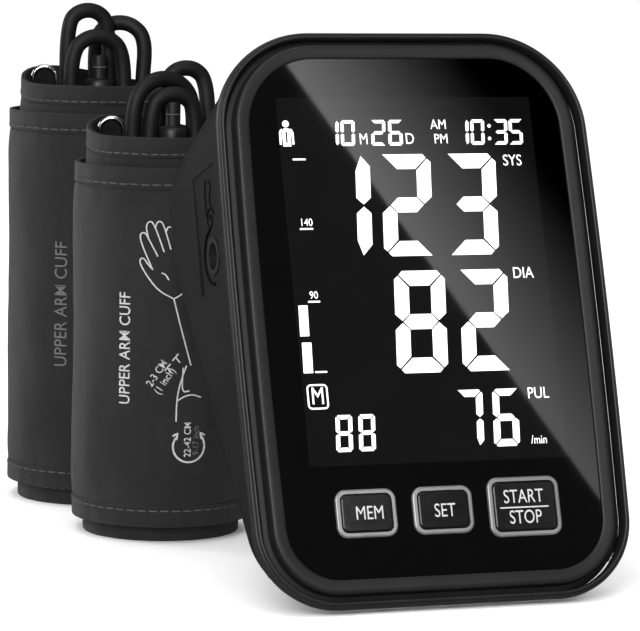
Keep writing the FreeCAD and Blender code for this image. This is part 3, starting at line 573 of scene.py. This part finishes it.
cap_low = {name: (face_box("button_" + name)[0].y - FACE_ORIGIN.y) / MM
           for name in ("mem", "set", "start")}
CAP_PRINT = 0.03            # mm in front of the cap
for name, words, x, z, size, button in (
        ("mem_print", "MEM", -23.6, 27.1, 3.9, "mem"), ("set_print", "SET", -0.5, 26.9, 3.9, "set"),
        ("start_print", "START", 24.3, 30.0, 3.9, "start"),
        ("stop_print", "STOP", 24.4, 23.9, 3.9, "start")):
    face_text(name, words, x, z, size, 0.76, button + "_button", "button_gloss", cap_print_with_painted_glow,
              cap_low[button] - CAP_PRINT)
rule = Plate()
rule.bar(16.7, 31.9, 26.75, 27.15, front=cap_low["start"] - CAP_PRINT,
         back=cap_low["start"] - 0.005)
finish_piece(rule.build("start_stop_line"), "start_button", "button_gloss",
             material=cap_print_with_painted_glow, sharp=None)


# ---------- the cuffs

CORE_RADIUS, PITCH = 20.9, 3.6
ROLL_TURN = math.radians(25.0)
CUFFS = {
    "front": {"height": 127.4, "flap": (5.0, 118.2), "plug": (3.6, -2.0)},
    "rear": {"height": 139.4, "flap": (6.0, 130.4), "plug": (2.4, -2.0)},
}
TURN = 2 * math.pi
STEPS_PER_TURN = 120
NARROWS = (1.90 * math.pi, 2.04 * math.pi)  # where the cloth steps down to its flap
HEM = 6.4                                   # mm, width of the folded edge
STITCH_INSET = 5.2
FAR_RISE = 4.5                              # the inner turn stands higher on its far side
EDGE_ROWS = (0.0, 0.25, 0.8, 2.0, 3.4, 4.6, 5.2, 5.8, 6.25, 6.45, 6.7, 7.4, 9.0, 11.0, 13.5)
MIDDLE_ROWS = 46
COVER_OUT, COVER_MOST = 2.2, 3.15           # mm outside the roll's line, at an edge and at most
FULLNESS, HEM_STEP = 0.42, 0.28             # mm more in the middle, and on the folded hem
GROOVE_DEPTH, GROOVE_WIDTH = 0.16, 0.35     # mm, where the stitches pull the cloth in
FOLD_DEPTH, FOLD_WIDTH = 0.5, 0.22          # mm, beside the hem
CREASE_SEEDS = {"front": Vector((3.1, 7.7, 1.3)), "rear": Vector((9.4, 2.2, 5.8))}
LINING_OUT, LINING_EDGE = 0.62, 0.9         # mm, in the middle and more at the edges
CLOTH_THICKNESS = 0.45
COVER_TRIM, LINING_TRIM = 0.02, 0.03        # radians of the roll left free at each end
MID_CLOTH = 50.0                            # mm, far from the cloth's end


def smooth_step(value, low, high):
    t = min(max((value - low) / (high - low), 0.0), 1.0)
    return t * t * (3 - 2 * t)


def cuff_centre(prefix):
    low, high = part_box(prefix + "_air_plug")
    plug_x, plug_y = CUFFS[prefix]["plug"]
    return Vector(((low.x + high.x) / 2 - plug_x * MM, (low.y + high.y) / 2 - plug_y * MM, 0.0))


CENTRES = {prefix: cuff_centre(prefix) for prefix in CUFFS}


def roll_point(prefix, angle, offset, z):
    """A point of the wound cloth: half circles about two centres, offset outwards in mm."""
    half_turn = min(int(angle / math.pi), 3)
    radius = CORE_RADIUS + half_turn * PITCH / 2 + offset
    x = PITCH / 2 * (half_turn % 2) + radius * math.cos(angle)
    y = radius * math.sin(angle)
    c, s = math.cos(ROLL_TURN), math.sin(ROLL_TURN)
    return CENTRES[prefix] + Vector((x * c - y * s, x * s + y * c, z)) * MM


def roll_length(angle, offset):
    """Length of cloth, mm, from the roll's start to this angle."""
    whole = int(angle / math.pi)
    length = sum(math.pi * (CORE_RADIUS + k * PITCH / 2 + offset) for k in range(whole))
    return length + (angle - whole * math.pi) * (CORE_RADIUS + whole * PITCH / 2 + offset)


def cloth_limits(prefix, angle):
    height = CUFFS[prefix]["height"]
    low, high = CUFFS[prefix]["flap"]
    step = smooth_step(angle, *NARROWS)
    rise = FAR_RISE * math.sin(angle) ** 2 if angle < math.pi else 0.0
    return low * step, height + rise + (high - height) * step


def cover_offset(prefix, angle, z, hem_gap, end_gap=MID_CLOTH):
    """How far, mm, the cover's outside stands out: hem, stitched groove, fold and creases."""
    edge = min(hem_gap, end_gap)
    swell = COVER_OUT + FULLNESS * smooth_step(edge, 4.0, 13.0)
    if edge < HEM:
        swell += HEM_STEP * smooth_step(edge, -0.3, 0.5)
    groove = math.exp(-((edge - STITCH_INSET) / GROOVE_WIDTH) ** 2) * GROOVE_DEPTH
    fold = math.exp(-((edge - HEM - 0.1) / FOLD_WIDTH) ** 2) * FOLD_DEPTH
    seed = CREASE_SEEDS[prefix]
    around = Vector((math.cos(angle) * 1.2, math.sin(angle) * 1.2, z * 0.018))
    wave = noise.noise(around * 1.3 + seed) * 0.55
    pucker = noise.noise(Vector((angle * 9.0, z * 0.05, 0.0)) + seed) * 0.16
    ripple = noise.noise(Vector((angle * 3.4, z * 0.11, 4.0)) + seed) * 0.14
    near_edge = 1 - smooth_step(edge, 5.0, 16.0)
    moved = wave * smooth_step(edge, 2.0, 20.0) + pucker * near_edge + ripple
    return min(swell - groove - fold + min(moved, 0.3), COVER_MOST)


def lining_offset(prefix, angle, z, hem_gap, end_gap):
    """The same for the lining, which both cuffs share and which ends like its middle."""
    ripple = noise.noise(Vector((angle * 4.0, z * 0.06, 8.0))) * 0.12
    edge = LINING_EDGE * (1 - smooth_step(hem_gap, 3.0, 12.0))
    return LINING_OUT + edge + ripple * smooth_step(hem_gap, 1.0, 8.0)


def wound_cloth(name, prefix, offset_of, end_trim):
    """A wound sheet of cloth as one closed thin shell, with its own coordinates in mm."""
    count = 2 * STEPS_PER_TURN + 1
    columns = []
    for i in range(count):
        angle = end_trim + (2 * TURN - 2 * end_trim) * i / (count - 1)
        z_low, z_high = cloth_limits(prefix, angle)
        inner_span = z_high - z_low - 2 * EDGE_ROWS[-1]
        heights = [z_low + e for e in EDGE_ROWS]
        heights += [z_low + EDGE_ROWS[-1] + inner_span * j / MIDDLE_ROWS
                    for j in range(1, MIDDLE_ROWS)]
        heights += [z_high - e for e in reversed(EDGE_ROWS)]
        end_gap = (2 * TURN - end_trim - angle) * (CORE_RADIUS + 1.5 * PITCH)
        columns.append([(angle, offset_of(prefix, angle, z, min(z - z_low, z_high - z), end_gap), z)
                        for z in heights])
    rows = len(columns[0])
    shell, uvs = [], []
    for side in (0.0, CLOTH_THICKNESS):
        for column in columns:
            for angle, offset, z in column:
                shell.append(roll_point(prefix, angle, offset - side, z))
                uvs.append((roll_length(angle, offset), z))
    faces = []
    back = count * rows
    for i in range(count - 1):
        for j in range(rows - 1):
            a, b = i * rows + j, (i + 1) * rows + j
            faces.append((a, b, b + 1, a + 1))
            faces.append((back + a, back + a + 1, back + b + 1, back + b))
        for j in (0, rows - 1):
            a, b = i * rows + j, (i + 1) * rows + j
            faces.append((a, b, back + b, back + a))
    for i in (0, count - 1):
        for j in range(rows - 1):
            a = i * rows + j
            faces.append((a, a + 1, back + a + 1, back + a))
    return closed_object(name, shell, faces, uvs)


def sweep_points(path, radius, sides):
    """A closed thin tube along a short path, as points and faces."""
    points = []
    for i, p in enumerate(path):
        ahead = (path[min(i + 1, len(path) - 1)] - path[max(i - 1, 0)]).normalized()
        level = Vector((0, 0, 1)) if abs(ahead.z) < 0.9 else Vector((1, 0, 0))
        side = ahead.cross(level).normalized()
        up = side.cross(ahead)
        for k in range(sides):
            a = TURN * k / sides
            points.append(p + (side * math.cos(a) + up * math.sin(a)) * radius)
    return points, tube_faces(len(path), sides)


STITCH, STITCH_GAP, THREAD = 2.1, 1.0, 0.22


def stitch_line(bundle, prefix, start, end, top):
    """A row of stitches along an edge of the cover, between two angles."""
    radius = CORE_RADIUS + PITCH
    angle = start
    while angle < end:
        path = []
        for part in (0.0, 0.2, 0.5, 0.8, 1.0):
            a = angle + part * STITCH / radius
            z_low, z_high = cloth_limits(prefix, a)
            z = z_high - STITCH_INSET if top else z_low + STITCH_INSET
            wobble = 0.12 * noise.noise(Vector((a * 7, z, 2.0)))
            dip = 0.22 * abs(2 * part - 1) ** 3
            offset = cover_offset(prefix, a, z, min(z - z_low, z_high - z)) + 0.16 - dip
            path.append(roll_point(prefix, a, offset, z + wobble))
        bundle.take(*sweep_points(path, THREAD * MM, 6))
        angle += (STITCH + STITCH_GAP) / radius


# ---------- hoses, plugs and rings

HOSE_DIAMETER = 0.0051
HOSE_TIGHT = 0.414          # tangent polygon round a half circle
PLUG_SIDES = 48
PLUG_LINE = ((2.2, 24.8), (2.42, 24.85), (2.42, 25.15), (2.2, 25.2))


def bend(start, end, z, way):
    """Control points for a half-circle bend between two upright runs; way is 1 up, -1 down."""
    start, end = Vector(start), Vector(end)
    middle = (start + end) / 2
    radius = (end - start).length / 2
    side = z - way * radius * (1 - HOSE_TIGHT)
    shoulders = [middle + (start - middle) * HOSE_TIGHT, middle + (end - middle) * HOSE_TIGHT]
    return [(start.x, start.y, side), (*shoulders[0], z), (*shoulders[1], z), (end.x, end.y, side)]


HOSE_ROUTES = {
    "front": [(15.1, -5.2, 92.0), (15.2, -5.2, 98.0), (17.3, -1.6, 112.0), (17.6, 5.0, 129.0)]
    + bend((17.5, 7.9), (4.2, 8.2), 147.4, 1) + [(4.6, 8.6, 122.0), (7.0, 11.0, 92.0)]
    + bend((7.0, 11.0), (-12.0, -1.0), 60.0, -1) + [(-12.0, -1.0, 92.0), (-9.4, -1.0, 120.0)]
    + bend((-9.3, -1.0), (12.2, 3.7), 144.4, 1) + [(12.2, 3.7, 118.0), (13.0, 3.6, 92.0)]
    + bend((13.0, 3.6), (-8.5, -6.6), 66.0, -1) + [(-8.4, -6.4, 96.0), (-4.2, -2.8, 114.0)]
    + bend((-3.9, -2.2), (11.1, -2.0), 139.7, 1)
    + [(11.1, -2.6, 116.0), (10.4, -8.4, 94.0)]
    + bend((9.6, -9.6), (-5.8, -11.6), 66.0, -1)
    + [(-5.4, -10.9, 86.0), (-1.0, -7.0, 98.0), (3.6, -2.2, 102.0), (3.6, -2.0, 108.6)],
    "rear": [(15.1, -5.2, 100.0), (15.2, -5.2, 106.0), (17.4, -2.0, 120.0), (18.2, 1.0, 139.0)]
    + bend((19.4, 1.2), (3.8, 9.4), 159.0, 1) + [(4.6, 9.8, 132.0), (8.0, 11.0, 100.0)]
    + bend((8.0, 11.0), (-11.0, -1.4), 64.0, -1) + [(-11.0, -1.4, 100.0), (-7.8, 2.2, 134.0)]
    + bend((-7.6, 2.5), (6.8, 2.7), 163.2, 1) + [(7.4, 2.8, 132.0), (10.4, 3.0, 100.0)]
    + bend((10.4, 3.0), (-9.5, -6.4), 72.0, -1) + [(-9.4, -6.2, 106.0), (-7.7, -3.3, 130.0)]
    + bend((-7.6, -3.0), (10.6, -3.0), 154.8, 1)
    + [(10.6, -3.4, 128.0), (9.9, -7.6, 108.0)]
    + bend((9.0, -10.0), (-8.0, -12.2), 78.0, -1)
    + [(-7.2, -11.4, 98.0), (-2.0, -7.0, 110.0), (2.4, -2.2, 113.4), (2.4, -2.0, 119.8)],
}


def make_hose(prefix):
    places = [CENTRES[prefix] + Vector(place) * MM for place in HOSE_ROUTES[prefix]]
    curve, spline = tube_curve(prefix + "_air_hose", "NURBS", places, HOSE_DIAMETER / 2, 7)
    spline.order_u = 3
    spline.use_endpoint_u = True
    spline.resolution_u = 14
    curve.use_fill_caps = True
    hose = linked(prefix + "_air_hose", curve)
    return finish_piece(hose, prefix + "_cuff", "hose_rubber", [prefix + "_hose_hank"], sharp=None)


def revolved(name, profile, centre):
    """A round piece from (radius, height) points in mm about an upright line."""
    points = []
    for radius, z in profile:
        for i in range(PLUG_SIDES):
            a = TURN * i / PLUG_SIDES
            points.append(centre + Vector((radius * math.cos(a), radius * math.sin(a), z)) * MM)
    return closed_object(name, points, tube_faces(len(profile), PLUG_SIDES))


def plug_profile():
    """From the hose's end up: strain relief, grip ribs, shoulder, nozzle with a bore."""
    profile = [(3.3, 0.0), (3.5, 0.4), (3.7, 4.0), (4.3, 5.2), (4.75, 5.8)]
    for rib in range(5):
        z = 6.6 + 2.0 * rib
        profile += [(4.75, z), (4.35, z + 0.35), (4.35, z + 1.0), (4.75, z + 1.35)]
    profile += [(4.78, 17.4), (4.78, 19.6), (4.5, 20.4), (3.9, 20.9), (2.7, 21.1), (2.35, 21.4),
                (2.35, 24.6), (2.2, 24.75), (2.2, 25.25), (2.35, 25.4), (2.35, 28.6), (2.1, 28.95),
                (1.4, 29.0), (1.15, 28.8), (1.1, 23.2), (0.2, 23.0)]
    return profile


def make_plug(prefix):
    low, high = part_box(prefix + "_air_plug")
    centre = Vector(((low.x + high.x) / 2, (low.y + high.y) / 2, low.z))
    plug = revolved(prefix + "_plug", plug_profile(), centre)
    finish_piece(plug, prefix + "_cuff", "jack_plastic", [prefix + "_air_plug"])
    ring = revolved(prefix + "_plug_line", PLUG_LINE, centre)
    finish_piece(ring, prefix + "_cuff", "jack_plastic", material=ink_grey)
    return plug, ring


WIRE = 0.9 * MM             # radius


def make_ring(prefix):
    """The long wire ring, from its box: two upright bars and a half circle at each end."""
    low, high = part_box(prefix + "_cuff_ring")
    centre = (low + high) / 2
    along = Vector((high.x - low.x - 2 * WIRE, -(high.y - low.y - 2 * WIRE), 0))
    leaning = sum((vertex.co.x - centre.x) * (vertex.co.y - centre.y)
                  for vertex in nodes[prefix + "_cuff_ring"].data.vertices)
    if leaning > 0:
        along.y = -along.y
    half = along.length / 2
    along.normalize()
    path = []
    for way, z in ((1, high.z - half - WIRE), (-1, low.z + half + WIRE)):
        for step in range(25):
            a = math.pi * step / 24
            sway = along * half * math.cos(a) * way
            rise = Vector((0, 0, half * math.sin(a) * way))
            path.append(Vector((centre.x, centre.y, z)) + sway + rise)
    curve, spline = tube_curve(prefix + "_wire_ring", "POLY", path, WIRE, 6)
    spline.use_cyclic_u = True
    ring = linked(prefix + "_wire_ring", curve_mesh(prefix + "_ring_curve", curve))
    finish_piece(ring, prefix + "_ring", "ring_chrome", [prefix + "_cuff_ring"])


# ---------- prints on cuffs

VIEW_SIDE = math.radians(-109.35)   # side of a cuff that faces the front view
INK_TOP, INK_BASE = 0.09, -0.02     # mm from the cloth


def print_point(prefix, around, z, lift):
    """A point on the flap: mm round it from the side that faces the front, and mm up."""
    radius = CORE_RADIUS + 1.25 * PITCH + 2.7
    world = VIEW_SIDE + around / radius
    angle = (world - ROLL_TURN) % TURN + TURN
    z_low, z_high = cloth_limits(prefix, angle)
    offset = cover_offset(prefix, angle, z, min(z - z_low, z_high - z))
    return roll_point(prefix, angle, offset + lift, z)


def stroke(bundle, prefix, line, width=0.42):
    """A printed line: a thin closed strip along points (around, z)."""
    fine = []
    for (u0, z0), (u1, z1) in zip(line, line[1:]):
        steps = max(2, int(math.hypot(u1 - u0, z1 - z0) / 0.9))
        fine += [(u0 + (u1 - u0) * i / steps, z0 + (z1 - z0) * i / steps) for i in range(steps)]
    fine.append(line[-1])
    points = []
    for i, (u, z) in enumerate(fine):
        (u0, z0), (u1, z1) = fine[max(i - 1, 0)], fine[min(i + 1, len(fine) - 1)]
        du, dz = u1 - u0, z1 - z0
        length = math.hypot(du, dz) or 1.0
        su, sz = -dz / length * width / 2, du / length * width / 2
        for side, lift in ((-1, INK_TOP), (1, INK_TOP), (1, INK_BASE), (-1, INK_BASE)):
            points.append(print_point(prefix, u + side * su, z + side * sz, lift))
    bundle.take(points, tube_faces(len(fine), 4))


def smooth_line(line):
    """Corners cut twice, so a few points make a flowing line."""
    for _ in range(2):
        cut = [line[0]]
        for (u0, z0), (u1, z1) in zip(line, line[1:]):
            cut += [(u0 * 0.75 + u1 * 0.25, z0 * 0.75 + z1 * 0.25),
                    (u0 * 0.25 + u1 * 0.75, z0 * 0.25 + z1 * 0.75)]
        line = cut + [line[-1]]
    return line


def cuff_text(name, prefix, words, around, z, size, turn, material, bold, squeeze):
    """Lettering wrapped onto the flap, its middle at (around, z), turned anticlockwise."""
    mesh = text_mesh(name, words, size, bold)
    work = bmesh.new()
    work.from_mesh(mesh)
    bmesh.ops.remove_doubles(work, verts=work.verts, dist=0.001)
    bmesh.ops.triangulate(work, faces=work.faces)
    long_edges = [e for e in work.edges if e.calc_length() > 1.2]
    bmesh.ops.subdivide_edges(work, edges=long_edges, cuts=2)
    made = bmesh.ops.extrude_face_region(work, geom=work.faces[:])
    raised = {v for v in made["geom"] if isinstance(v, bmesh.types.BMVert)}
    c, s = math.cos(math.radians(turn)), math.sin(math.radians(turn))
    for vertex in work.verts:
        x, y = vertex.co.x * squeeze, vertex.co.y
        lift = INK_TOP if vertex in raised else INK_BASE
        vertex.co = print_point(prefix, around + x * c - y * s, z + x * s + y * c, lift)
    bmesh.ops.recalc_face_normals(work, faces=work.faces)
    work.to_mesh(mesh)
    work.free()
    finish_piece(linked(name, mesh), prefix + "_cuff", "cuff_fabric", material=material, sharp=None)


for prefix in CUFFS:
    body = prefix + "_cuff"
    cover = wound_cloth(prefix + "_cover_cloth", prefix, cover_offset, COVER_TRIM)
    finish_piece(cover, body, "cuff_fabric", [prefix + "_cuff_cover"], sharp=60)
    lining = wound_cloth(prefix + "_lining_cloth", prefix, lining_offset, LINING_TRIM)
    finish_piece(lining, body, "lining_fabric", [prefix + "_cuff_lining"], sharp=60)
    stitches = Bundle()
    for top in (True, False):
        stitch_line(stitches, prefix, 0.15, 2 * TURN - 0.1, top)
    seam = finish_piece(stitches.build(prefix + "_stitches"), body, "cuff_fabric",
                        material=thread_dark)
    height = CUFFS[prefix]["height"] * MM
    hose = make_hose(prefix)
    plug, plug_ring = make_plug(prefix)
    make_ring(prefix)

cuff_text("front_cuff_name", "front", "UPPER ARM CUFF", -10.2, 61.5, 3.5, 90, ink_white, 0.03, 0.90)
cuff_text("rear_cuff_name", "rear", "UPPER ARM CUFF", -8.5, 67.5, 4.2, 90, ink_grey, 0.02, 0.88)
cuff_text("gap_note", "front", "2-3 CM", -0.1, 54.0, 2.3, 58, ink_white, 0.03, 0.9)
cuff_text("gap_note_inches", "front", "(1 inch)", 2.3, 51.6, 2.3, 58, ink_white, 0.02, 0.9)
cuff_text("range_note", "front", "22-42 CM", 9.5, 33.0, 2.1, 90, ink_white, 0.03, 0.9)
cuff_text("range_note_inches", "front", "9-17 inch", 12.1, 32.6, 1.9, 90, ink_grey, 0.0, 0.9)

DIAGRAM_LINES = (
    ((3.2, 81.5), (-1.5, 84.0), (-5.0, 88.5), (-7.6, 93.0), (-6.4, 94.6), (-4.4, 91.8), (-3.2, 90.6)),
    ((-3.4, 90.8), (-6.8, 98.6), (-7.4, 101.6), (-5.8, 102.4), (-4.4, 99.8), (-1.8, 94.8)),
    ((-4.7, 100.4), (-5.6, 104.4), (-4.2, 106.0), (-2.8, 104.4), (0.1, 96.2)),
    ((-2.7, 103.6), (-2.0, 105.8), (-0.6, 105.6), (0.4, 103.0), (2.1, 97.0)),
    ((0.6, 102.6), (1.2, 104.2), (2.6, 103.8), (3.6, 101.0), (5.6, 95.2), (6.4, 92.0)),
    ((-0.6, 89.6), (0.6, 89.2), (1.6, 87.4)),
    ((3.2, 81.5), (5.2, 82.6), (7.2, 84.4)),
    ((3.2, 81.5), (5.6, 72.0), (8.8, 60.4)),
    ((7.4, 60.4), (5.4, 54.8), (4.4, 49.4), (4.3, 42.8)),
    ((4.4, 49.2), (7.0, 50.9), (9.8, 51.2), (12.2, 50.2)),
    ((6.4, 59.8), (5.9, 52.0), (8.4, 52.4)),
    ((3.9, 63.2), (5.3, 61.4)), ((4.8, 64.2), (3.0, 62.0)),
    ((1.4, 59.8), (2.8, 58.2)), ((2.4, 61.0), (0.6, 58.8)),
)
DIAGRAM_MOVE = (1.5, -4.0)
diagram = Bundle()
for line in DIAGRAM_LINES:
    moved = [(u + DIAGRAM_MOVE[0], z + DIAGRAM_MOVE[1]) for u, z in line]
    stroke(diagram, "front", smooth_line(moved) if len(moved) > 2 else moved)
ARROW_CENTRE, ARROW_RADIUS, ARROW_WIDTH = (9.9, 30.8), 5.0, 0.6
arrow = [(ARROW_CENTRE[0] + ARROW_RADIUS * math.sin(math.radians(a)),
          ARROW_CENTRE[1] - ARROW_RADIUS * math.cos(math.radians(a))) for a in range(-125, 126, 10)]
stroke(diagram, "front", arrow, ARROW_WIDTH)
for side in (-1, 1):
    tip_u = ARROW_CENTRE[0] + side * ARROW_RADIUS * 0.72
    tip_z = ARROW_CENTRE[1] + ARROW_RADIUS * 0.86
    stroke(diagram, "front", [(tip_u + side * 1.5, tip_z - 0.9), (tip_u, tip_z),
                              (tip_u + side * 0.4, tip_z - 2.1)], ARROW_WIDTH)
finish_piece(diagram.build("arm_diagram"), "front_cuff", "cuff_fabric",
             material=ink_white, sharp=None)


# ---------- the air socket

SOCKET_DEPTH, SOCKET_Z = 20.0, 108.6
SHADE_ARC_RADIUS = 8.3
SIDE_X = -56.72             # mm, where the prints stand on the shell's left side


def side_stroke(bundle, line, radius=0.3):
    places = [on_face(SIDE_X, z, depth) for depth, z in line]
    bundle.take(*sweep_points(places, radius * MM, 8))


# Near black for the socket's marks, and for a half ring of painted shade where the groove round the socket lies.
marks_and_painted_groove_shade = plastic("dark_marks_and_painted_groove_shade", grey(.0008), grey(.0016), (.6, .8), 2000, .3,
                       **{SPECULAR: 0.1})
marks = Bundle()
side_stroke(marks, smooth_line([(19.4, 131.0), (17.8, 130.6), (17.4, 128.6), (18.6, 126.6),
                                (19.6, 124.6), (18.0, 123.4), (17.8, 121.6)]))
side_stroke(marks, smooth_line([(21.8, 132.0), (23.2, 129.0), (23.4, 125.0), (23.2, 121.4)]))
spiral = []
for i in range(26):
    t = i * 0.35
    spiral.append((20.0 + (0.7 + 0.34 * t) * math.cos(t * 1.05),
                   119.6 + (0.7 + 0.34 * t) * math.sin(t * 1.05)))
side_stroke(marks, spiral)
finish_piece(marks.build("socket_marks"), "monitor", "case_black", material=marks_and_painted_groove_shade)

# A dark half ring round the socket: painted shade standing for its groove, drawn as a stroke on the shell.
groove = Bundle()
side_stroke(groove, [(SOCKET_DEPTH + SHADE_ARC_RADIUS * math.cos(math.radians(a)),
                      SOCKET_Z + SHADE_ARC_RADIUS * math.sin(math.radians(a)))
                     for a in range(-85, 86, 8)], 0.5)
finish_piece(groove.build("socket_groove_painted_shade"), "monitor", "case_black", material=marks_and_painted_groove_shade)


# ---------- stage, lights, camera

floor_paint, tree, shader = new_tree("pale_floor")
set_inputs(tree, shader, {"Base Color": tint(tree, noise_node(tree, 3.0, 3.0), grey(.83), grey(.86)),
                          "Roughness": 0.7, SPECULAR: 0.2})
FLOOR_REACH = 16            # m
floor = mesh_object("floor", [(x * FLOOR_REACH, y * FLOOR_REACH, 0)
                              for x, y in ((-1, -1), (1, -1), (1, 1), (-1, 1))], [(0, 1, 2, 3)])
floor.data.materials.append(floor_paint)
floor.visible_glossy = False

CAMERA_PLACE = on_face(0, 0) + Vector((-0.37554, -0.94792, 0.20792))   # m
LENS, SENSOR = 202.5, 36.0                  # mm
AZIMUTH, DOWN, ROLL = math.radians(-19.35), math.radians(7.0), math.radians(1.0)
forward = Vector((-math.sin(AZIMUTH) * math.cos(DOWN), math.cos(AZIMUTH) * math.cos(DOWN),
                  -math.sin(DOWN)))
right = Vector((math.cos(AZIMUTH), math.sin(AZIMUTH), 0))
up = right.cross(forward)
camera_x = right * math.cos(ROLL) + up * math.sin(ROLL)
camera_y = up * math.cos(ROLL) - right * math.sin(ROLL)
camera = linked("camera", bpy.data.cameras.new("camera"))
camera.data.lens = LENS
camera.data.sensor_width = SENSOR
camera.data.sensor_fit = "HORIZONTAL"
camera.data.clip_start = 0.05
camera.matrix_world = Matrix.Translation(CAMERA_PLACE) @ Matrix(
    (camera_x, camera_y, -forward)).transposed().to_4x4()
scene.camera = camera

# A card whose mirror image crosses the window as a slanting pane of light.
mirrored = CAMERA_PLACE - 2 * (CAMERA_PLACE - on_face(0, 0)).dot(INWARD) * INWARD
CARD_REACH, CARD_STRENGTH = 1.9, 3.6


def behind_window(x, z):
    """Where the card's plane is seen through this point of the face, in the mirror."""
    return mirrored + (on_face(x, z) - mirrored) * CARD_REACH


card = mesh_object("light_card", [behind_window(-72.0, 218.5), behind_window(81.0, -22.3),
                                  behind_window(150.0, 21.5), behind_window(-3.0, 262.3)],
                   [(0, 1, 2, 3)], [(0, 0), (1, 0), (1, 1), (0, 1)])
card_material = bpy.data.materials.new("light_card_glow")
card_material.use_nodes = True
card_tree = card_material.node_tree
card_tree.nodes.clear()


def fade(value, start, end, least):
    """From 1 at the start to least at the end."""
    inputs = {"Value": value, "From Min": start, "From Max": end, "To Min": 1.0, "To Max": least}
    return add(card_tree, "ShaderNodeMapRange", inputs).outputs[0]


card_uv = add(card_tree, "ShaderNodeUVMap", uv_map="cloth").outputs[0]
along_card, away_card, _ = add(card_tree, "ShaderNodeSeparateXYZ", {0: card_uv}).outputs
edge_fade = math_node(card_tree, "POWER", fade(away_card, 0.0, 0.6, 0.0), 1.6)
glow = math_node(card_tree, "MULTIPLY", edge_fade, fade(along_card, 0.25, 0.9, 0.42))
strength = math_node(card_tree, "MULTIPLY", glow, CARD_STRENGTH)
emission = add(card_tree, "ShaderNodeEmission", {"Strength": strength})
add(card_tree, "ShaderNodeOutputMaterial", {"Surface": emission.outputs[0]})
card.data.materials.append(card_material)
card.visible_camera = card.visible_diffuse = card.visible_shadow = False
card.visible_transmission = False


def area_light(name, place, target, size, energy, size_y=None):
    light = bpy.data.lights.new(name, "AREA")
    light.shape = "RECTANGLE"
    light.size, light.size_y = size, size_y or size
    light.energy = energy
    lamp = linked(name, light)
    lamp.location = place
    aim = Vector(target) - Vector(place)
    lamp.rotation_euler = aim.to_track_quat("-Z", "Y").to_euler()


area_light("key_left", (-1.0, -1.5, 0.9), (0, 0, 0.08), 0.9, 27.0, 1.2)
area_light("top_soft", (-0.1, 0.0, 1.6), (0, 0, 0), 1.2, 6.0)
area_light("rim_back_left", (-1.4, 1.3, 0.6), (0, -0.05, 0.1), 0.4, 8.0, 0.9)
area_light("ring_light", behind_window(-95, 30), on_face(0, 30), 0.12, 0.6)

# Daylight for the floor alone, so that it is white and its contact shadows stay soft.
sun = bpy.data.lights.new("floor_daylight", "SUN")
sun.energy = 3.6
sun.angle = math.radians(120)
sun_lamp = linked("floor_daylight", sun)
lit = bpy.data.collections.new("daylit")
lit.objects.link(floor)
sun_lamp.light_linking.receiver_collection = lit

world = bpy.data.worlds.new("studio")
scene.world = world
world.use_nodes = True
sky = world.node_tree
sky.nodes.clear()
rays = add(sky, "ShaderNodeLightPath")


def background(strength):
    inputs = {"Color": (1, 1, 1, 1), "Strength": strength}
    return add(sky, "ShaderNodeBackground", inputs).outputs[0]


def for_rays(kind, theirs, others):
    inputs = {0: rays.outputs[kind], 1: others, 2: theirs}
    return add(sky, "ShaderNodeMixShader", inputs).outputs[0]


shaded = for_rays("Is Glossy Ray", background(0.10), background(0.13))
final = for_rays("Is Camera Ray", background(1.0), shaded)
add(sky, "ShaderNodeOutputWorld", {"Surface": final})
scene.view_settings.view_transform = "Standard"
